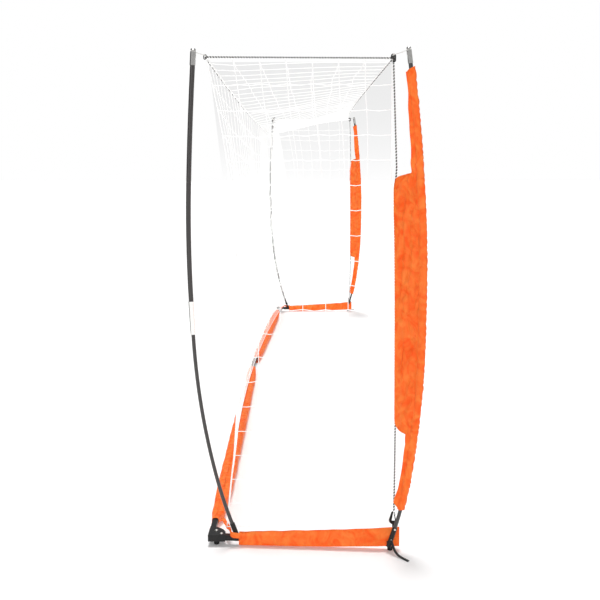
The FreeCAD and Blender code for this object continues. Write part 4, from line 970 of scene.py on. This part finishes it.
def back_pocket(s):
    """The back sleeve's stations: run from the joint, width, height, and shift to the front."""
    start = np.array([BAR_JOINT[0], BAR_JOINT[1], 0.0])
    end = np.array([s * BAR_CORNER[0], BAR_CORNER[1], 0.0])
    ahead = unit(end - start)
    far = abs(s * SLEEVE_REACH - start[0]) / abs(ahead[0])
    table = (
        (SLEEVE_GAP, 0.046, 0.052, 0.002),
        (SLEEVE_GAP + 0.180, 0.064, 0.054, 0.005),
        ((SLEEVE_GAP + far) / 2, 0.076, 0.058, 0.006),
        (far - 0.420, 0.072, 0.058, 0.007),
        (far - 0.130, 0.056, 0.054, 0.005),
        (far, 0.050, 0.052, 0.005),
    )
    return start, ahead, far, table


for s, side in SIDES:
    start, ahead, far, table = back_pocket(s)
    inward = np.array([ahead[1], -ahead[0], 0.0])
    if inward[1] > 0:
        inward = -inward
    rings = []
    closing_from = far - CLOSING_RUN
    runs = np.concatenate([np.arange(SLEEVE_GAP, closing_from, 0.012), np.linspace(closing_from, far, 20)])
    for run in runs:
        wide = interpolated(table, run, 1)
        high = interpolated(table, run, 2)
        shift = interpolated(table, run, 3)
        closing = smooth_step(run, far - 0.085, far - 0.012)
        wide = mix(wide, CLOSED_WIDTH, closing)
        middle = mix(0.0022 + high / 2, TUBE_MIDDLE, closing)
        high = mix(high, CLOSED_HEIGHT, closing)
        shift = mix(shift, 0.0, closing)
        ring = []
        for k in range(AROUND + 1):
            angle = math.pi / 2 + 2 * math.pi * k / AROUND
            x = math.copysign(abs(math.cos(angle)) ** 0.62, math.cos(angle)) * wide / 2
            z = middle + math.copysign(abs(math.sin(angle)) ** 0.7, math.sin(angle)) * high / 2
            lift = max(0.0, math.sin(angle))
            fold = ridges(run * 9, x * 30 + run * 2, 6.0 + s) * 0.0035
            edge = 0.004 * noise.noise(Vector((run * 8, 5, s + math.cos(angle))))
            z -= lift * (0.002 + abs(fold) * 1.3) * (1 - closing)
            x += edge * abs(math.cos(angle)) * 0.8 * (1 - closing)
            ring.append(start + ahead * run + inward * (x + shift) + np.array([0, 0, z]))
        rings.append(ring)
    sleeve = cloth_sheet(f"back_sleeve_cloth_{side}", sum(rings, []), len(ring))
    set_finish(sleeve, "orange_cloth")
    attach(sleeve, "root")
    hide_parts(f"back_sleeve_{side}")

# %% [markdown]
# A webbing tab is looped through each snap hook and sewn down to the side sleeve. It is thin and
# bends sharply, so it is a strip swept along a path, like the tails but without the loose end.

# %% Sew the hook tabs
TAB_WIDTH = 0.012
TAB_THICK = 0.0016
TAB_RIBS = 0.002
TAB_RISE = 0.0002
HOOK_EYE_DROP = 0.0208
# The tab's path about the hook's lower eye, outwards and up, from the side sleeve and back to it
TAB_LOOP = (
    (0.0265, -0.0215),
    (0.006, -0.0085),
    (0.0056, 0.0040),
    (0.0030, 0.0076),
    (-0.0030, 0.0076),
    (-0.0056, 0.0040),
    (-0.0056, -0.0050),
    (-0.0020, -0.0085),
    (0.006, -0.0105),
    (0.0275, -0.0240),
)
for s, side in SIDES:
    x, y, z = HOOK_AT
    centre = np.array([s * x, y - HOOK_FORWARD, z - HOOK_EYE_DROP])
    loop = [centre + np.array([s * aside, 0, up]) for aside, up in TAB_LOOP]
    path = spaced(spline_points(loop, "tab_route"), 0.0015)
    tab = webbing(f"hook_tab_{side}", path, np.array([0, 1.0, 0]), TAB_WIDTH, TAB_THICK, TAB_RIBS, TAB_RISE)
    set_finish(tab, "black_webbing")
    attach(tab, "root")
    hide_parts("hook_tabs")
    print(tab.name, round(length_of(path), 3), "m")

# %% [markdown]
# Each finish is a node material, with its colour varied a little by noise and its surface broken by
# a bump at the real scale: weave on cloth, braid on twine, a fine orange peel on powder coat. On the
# orange cloth the noise also paints the highlight and shade of folds.

# %% Weave the cloth's material
def node_material(name):
    material = bpy.data.materials.new(name)
    material.use_nodes = True
    nodes = material.node_tree.nodes
    return material, nodes, material.node_tree.links, nodes["Principled BSDF"]


def add_node(nodes, kind, **values):
    """A new node with its inputs set; an underscore in a name stands for a space."""
    node = nodes.new(kind)
    for name, value in values.items():
        node.inputs[name.replace("_", " ")].default_value = value
    return node


def shaded(colour, factor):
    return (*(min(1.0, part * factor) for part in colour), 1.0)


def varied_colour(nodes, links, shader, colour, spread, scale, highlight=None):
    """Base colour that drifts between a darker and a lighter shade of itself, or towards a painted highlight
    colour that stands in for the lit sides of folds.
    """
    where = nodes.new("ShaderNodeTexCoord")
    tone_and_highlight_noise = add_node(nodes, "ShaderNodeTexNoise", Scale=scale, Detail=5.0)
    ramp = nodes.new("ShaderNodeValToRGB")
    shades = ((0.3, shaded(colour, 1 - spread)), (0.7, shaded(highlight or colour, 1 + spread)))
    for element, (position, shade) in zip(ramp.color_ramp.elements, shades):
        element.position = position
        element.color = shade
    links.new(where.outputs["Object"], tone_and_highlight_noise.inputs["Vector"])
    links.new(tone_and_highlight_noise.outputs["Fac"], ramp.inputs["Fac"])
    links.new(ramp.outputs["Color"], shader.inputs["Base Color"])
    return where, tone_and_highlight_noise


def bump_from(nodes, links, shader, height, strength, distance, under=None):
    bump = add_node(nodes, "ShaderNodeBump", Strength=strength, Distance=distance)
    if under is not None:
        links.new(under, bump.inputs["Normal"])
    links.new(height, bump.inputs["Height"])
    links.new(bump.outputs["Normal"], shader.inputs["Normal"])


def woven(name, colour, spread, thread, roughness, sheen, creases=0.0, highlight=None):
    """Woven cloth: bands along each axis, so that threads cross on any face, with creases under them."""
    material, nodes, links, shader = node_material(name)
    where, tone_and_highlight_noise = varied_colour(nodes, links, shader, colour, spread, 14.0, highlight)
    # Painted highlight: with a highlight colour the patches grow larger and sharper, so the lighter orange
    # stands for the lit sides of folds and the darker base orange for their shaded sides.
    if highlight:
        tone_and_highlight_noise.inputs["Scale"].default_value = 19.0
        tone_and_highlight_noise.inputs["Detail"].default_value = 3.0
        tone_and_highlight_noise.inputs["Distortion"].default_value = 1.3
    height = None
    normal = None
    for direction in ("X", "Z", "Y"):
        wave = add_node(nodes, "ShaderNodeTexWave", Scale=1 / thread / 2, Distortion=0.6)
        wave.bands_direction = direction
        links.new(where.outputs["Object"], wave.inputs["Vector"])
        if height is None:
            height = wave.outputs["Fac"]
        else:
            both = nodes.new("ShaderNodeMath")
            both.operation = "ADD"
            links.new(height, both.inputs[0])
            links.new(wave.outputs["Fac"], both.inputs[1])
            height = both.outputs["Value"]
    if creases:
        rough = {"Scale": 17.0, "Detail": 2.5, "Roughness": 0.42, "Distortion": 0.9}
        crease = add_node(nodes, "ShaderNodeTexNoise", **rough)
        upright = add_node(nodes, "ShaderNodeMapping", Scale=(1.5, 1.5, 0.7))
        links.new(where.outputs["Object"], upright.inputs["Vector"])
        links.new(upright.outputs["Vector"], crease.inputs["Vector"])
        crumple = add_node(nodes, "ShaderNodeBump", Strength=1.0, Distance=creases)
        links.new(crease.outputs["Fac"], crumple.inputs["Height"])
        normal = crumple.outputs["Normal"]
    bump_from(nodes, links, shader, height, 0.35, thread * 0.6, normal)
    shader.inputs["Roughness"].default_value = roughness
    shader.inputs["Sheen Weight"].default_value = sheen
    shader.inputs["Specular IOR Level"].default_value = 0.22
    return material

# %% [markdown]
# Paint, plating, plastic and rubber differ in how fine and how rough their surface is. One function
# makes them all: the same noise changes the roughness and the bump, as wear does on the real thing.

# %% Mix the hard finishes
def coated(name, colour, spread, scale, roughness, metallic, bump, stretch=(1, 1, 1)):
    """Paint, plating, plastic or rubber: noise at the scale of its surface drives roughness and bump."""
    material, nodes, links, shader = node_material(name)
    where = varied_colour(nodes, links, shader, colour, spread, 9.0)[0]
    mapping = add_node(nodes, "ShaderNodeMapping", Scale=stretch)
    fine = add_node(nodes, "ShaderNodeTexNoise", Scale=scale, Detail=4.0)
    links.new(where.outputs["Object"], mapping.inputs["Vector"])
    links.new(mapping.outputs["Vector"], fine.inputs["Vector"])
    rough = nodes.new("ShaderNodeMapRange")
    rough.inputs["To Min"].default_value = roughness * 0.8
    rough.inputs["To Max"].default_value = min(1.0, roughness * 1.25)
    links.new(fine.outputs["Fac"], rough.inputs["Value"])
    links.new(rough.outputs["Result"], shader.inputs["Roughness"])
    bump_from(nodes, links, shader, fine.outputs["Fac"], bump, 0.0004)
    shader.inputs["Metallic"].default_value = metallic
    if not metallic:
        shader.inputs["Specular IOR Level"].default_value = 0.28
    return material


ORANGE = (1.0, 0.105, 0.004)
# Painted highlight and shade: patches of this lighter orange, mixed at random into the base orange, stand for
# the lit sides of the cloth's folds, and the base orange stands for their shade.
HIGHLIGHT_ORANGE = (1.0, 0.225, 0.035)
CRUMPLE = 0.013
# Marks of drawing and polishing run along a tube, so the noise is stretched that way
DRAWN = (1, 1, 0.1)
POLISHED = (1, 1, 0.05)
FINISHES = {
    "orange_cloth": woven("orange_coated_cloth", ORANGE, 0.02, 0.0006, 0.5, 0.0, CRUMPLE, HIGHLIGHT_ORANGE),
    "white_net": woven("white_braided_twine", (0.94, 0.94, 0.93), 0.02, 0.0008, 0.7, 0.1),
    "edge_rope": woven("dark_edge_rope", (0.045, 0.042, 0.040), 0.15, 0.0015, 0.7, 0.1),
    "white_elastic": woven("braided_elastic", (0.74, 0.73, 0.70), 0.05, 0.0008, 0.6, 0.1),
    "black_webbing": woven("black_webbing", (0.018, 0.018, 0.019), 0.15, 0.0012, 0.62, 0.15),
    "black_steel": coated("powder_coated_steel", (0.016, 0.016, 0.016), 0.12, 900.0, 0.42, 0.0, 0.25),
    "black_pole": coated("satin_black_pole", (0.030, 0.026, 0.025), 0.12, 700.0, 0.34, 0, 0.12, DRAWN),
    "polished_steel": coated("polished_ferrule", (0.86, 0.85, 0.83), 0.03, 120.0, 0.12, 1, 0.01, POLISHED),
    "bolt_steel": coated("zinc_plated_bolt", (0.66, 0.65, 0.62), 0.06, 600.0, 0.30, 1.0, 0.15),
    "black_plastic": coated("moulded_hook", (0.012, 0.012, 0.012), 0.10, 1200.0, 0.44, 0.0, 0.20),
    "black_rubber": coated("rubber_foot", (0.014, 0.014, 0.014), 0.10, 800.0, 0.80, 0.0, 0.30),
}

# %% [markdown]
# The frame's record says which finish each part wears. Two finishes get a last touch: the poles are
# glossier than the base, and the white twine glows a little, because twine this thin turns grey
# where its own shaded side fills half of each pixel.

# %% Dress every piece
pole_shader = FINISHES["black_pole"].node_tree.nodes["Principled BSDF"]
pole_shader.inputs["Specular IOR Level"].default_value = 0.75
net_shader = FINISHES["white_net"].node_tree.nodes["Principled BSDF"]
net_shader.inputs["Emission Color"].default_value = (1.0, 1.0, 0.99, 1.0)
net_shader.inputs["Emission Strength"].default_value = 0.18
slots_of = {row["node"]: row["material_slot"] for row in frame["record"]["subparts"]}
for node, piece in frame["nodes"].items():
    piece.data.materials.clear()
    piece.data.materials.append(FINISHES[slots_of[node]])
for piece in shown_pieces():
    if piece.name not in frame["nodes"] and not piece.data.materials:
        piece.data.materials.append(FINISHES[piece.get("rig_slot")])
print("finishes:", len(FINISHES))

# %% [markdown]
# The goal stands on a plain white floor. Polished steel shows what is round it, and on white alone
# it would vanish, so a black card stands to one side. Only reflections see it.

# %% Lay the floor and stand the dark card
floor = new_piece("floor", [(-60, -60, 0), (60, -60, 0), (60, 60, 0), (-60, 60, 0)], [(0, 1, 2, 3)])
floor_paint, nodes, links, shader = node_material("floor_paint")
shader.inputs["Base Color"].default_value = (0.97, 0.97, 0.97, 1.0)
shader.inputs["Roughness"].default_value = 0.9
shader.inputs["Specular IOR Level"].default_value = 0.1
floor.data.materials.append(floor_paint)

dark_card = new_piece("dark_card", [(-3.2, 4, 0), (14, 4, 0), (14, 4, 6), (-3.2, 4, 6)], [(0, 1, 2, 3)])
dark_paint, nodes, links, shader = node_material("dark_card_paint")
shader.inputs["Base Color"].default_value = (0.0, 0.0, 0.0, 1.0)
shader.inputs["Specular IOR Level"].default_value = 0.0
dark_card.data.materials.append(dark_paint)
dark_card.visible_camera = False
dark_card.visible_diffuse = False
dark_card.visible_shadow = False
dark_card.visible_transmission = False
print("stage:", floor.name, dark_card.name)

# %% [markdown]
# An even white sky lights the goal from all sides. The camera sees it at full white, and the goal gets
# less of it, so that colours don't wash out. Light Path's Is Camera Ray tells the two apart.
# Through the net the space behind the goal looks light grey at the top and fades to white lower down.
# A card there would hide the goal from its other end. So the sky itself is greyer in that direction,
# which is given by slopes: how far a line of sight goes aside or up for each metre along X.

# %% Make the sky
SKY = 0.36
world = bpy.data.worlds.new("even_sky")
bpy.context.scene.world = world
world.use_nodes = True
sky_nodes = world.node_tree.nodes
sky_links = world.node_tree.links


def maths(operation, first, second):
    """A Math node in the sky; each input is a socket or a plain number."""
    node = sky_nodes.new("ShaderNodeMath")
    node.operation = operation
    for socket, value in zip(node.inputs, (first, second)):
        if isinstance(value, (int, float)):
            socket.default_value = value
        else:
            sky_links.new(value, socket)
    return node.outputs["Value"]


TONE_TOP = 0.84
TONE_LOW_SLOPE, TONE_HIGH_SLOPE = -0.0234, 0.1042
TONE_RIGHT = -0.077
TONE_LEFT_LOW, TONE_LEFT_HIGH = 0.108, 0.122
where = sky_nodes.new("ShaderNodeTexCoord")
direction = sky_nodes.new("ShaderNodeSeparateXYZ")
sky_links.new(where.outputs["Generated"], direction.inputs["Vector"])
aside = maths("DIVIDE", direction.outputs["Y"], direction.outputs["X"])
rise = maths("DIVIDE", direction.outputs["Z"], direction.outputs["X"])
height = maths("DIVIDE", maths("SUBTRACT", rise, TONE_LOW_SLOPE), TONE_HIGH_SLOPE - TONE_LOW_SLOPE)
left_edge = maths("ADD", maths("MULTIPLY", height, TONE_LEFT_HIGH - TONE_LEFT_LOW), TONE_LEFT_LOW)
inside = maths("GREATER_THAN", direction.outputs["X"], 0.0)
inside = maths("MULTIPLY", inside, maths("GREATER_THAN", aside, TONE_RIGHT))
inside = maths("MULTIPLY", inside, maths("LESS_THAN", aside, left_edge))
inside = maths("MULTIPLY", inside, maths("GREATER_THAN", height, 0.0))
inside = maths("MULTIPLY", inside, maths("LESS_THAN", height, 1.0))
fading = maths("POWER", maths("SUBTRACT", 1.0, maths("MULTIPLY", height, inside)), 2.0)
greying = maths("MULTIPLY", maths("MULTIPLY", maths("SUBTRACT", 1.0, fading), 1.0 - TONE_TOP), inside)
tone = maths("SUBTRACT", 1.0, greying)

light_path = sky_nodes.new("ShaderNodeLightPath")
seen = maths("MAXIMUM", light_path.outputs["Is Camera Ray"], light_path.outputs["Is Transmission Ray"])
strength = sky_nodes.new("ShaderNodeMapRange")
strength.inputs["To Min"].default_value = SKY
sky_links.new(tone, strength.inputs["To Max"])
sky_links.new(seen, strength.inputs["Value"])
background = sky_nodes["Background"]
background.inputs["Color"].default_value = (1.0, 1.0, 1.0, 1.0)
sky_links.new(strength.outputs["Result"], background.inputs["Strength"])
print("sky:", len(sky_nodes), "nodes")

# %% [markdown]
# One sun stands almost overhead and draws the thin dark line under the tubes. Two weaker suns come
# from the near end, one from each flank. They cast no shadow, and keep the cloth's colour full.

# %% Hang the suns
# Each sun: its name, its strength, how wide it is in degrees, whether it casts a shadow, and its aim
SUNS = (
    ("overhead_sun", 2.25, 14.0, True, (-0.22, -0.04, -1.0)),
    ("fill_sun", 0.95, 12.0, False, (1.0, -0.50, -0.45)),
    ("edge_sun", 0.50, 12.0, False, (0.60, 0.90, -0.50)),
)
for name, energy, angle, shadow, aim in SUNS:
    sun_data = bpy.data.lights.new(name, "SUN")
    sun_data.energy = energy
    sun_data.angle = math.radians(angle)
    sun_data.use_shadow = shadow
    sun = bpy.data.objects.new(name, sun_data)
    sun.rotation_euler = Vector(aim).to_track_quat("-Z", "Y").to_euler()
    bpy.context.scene.collection.objects.link(sun)
bpy.context.scene.view_settings.view_transform = "Standard"
print("suns:", len(SUNS))
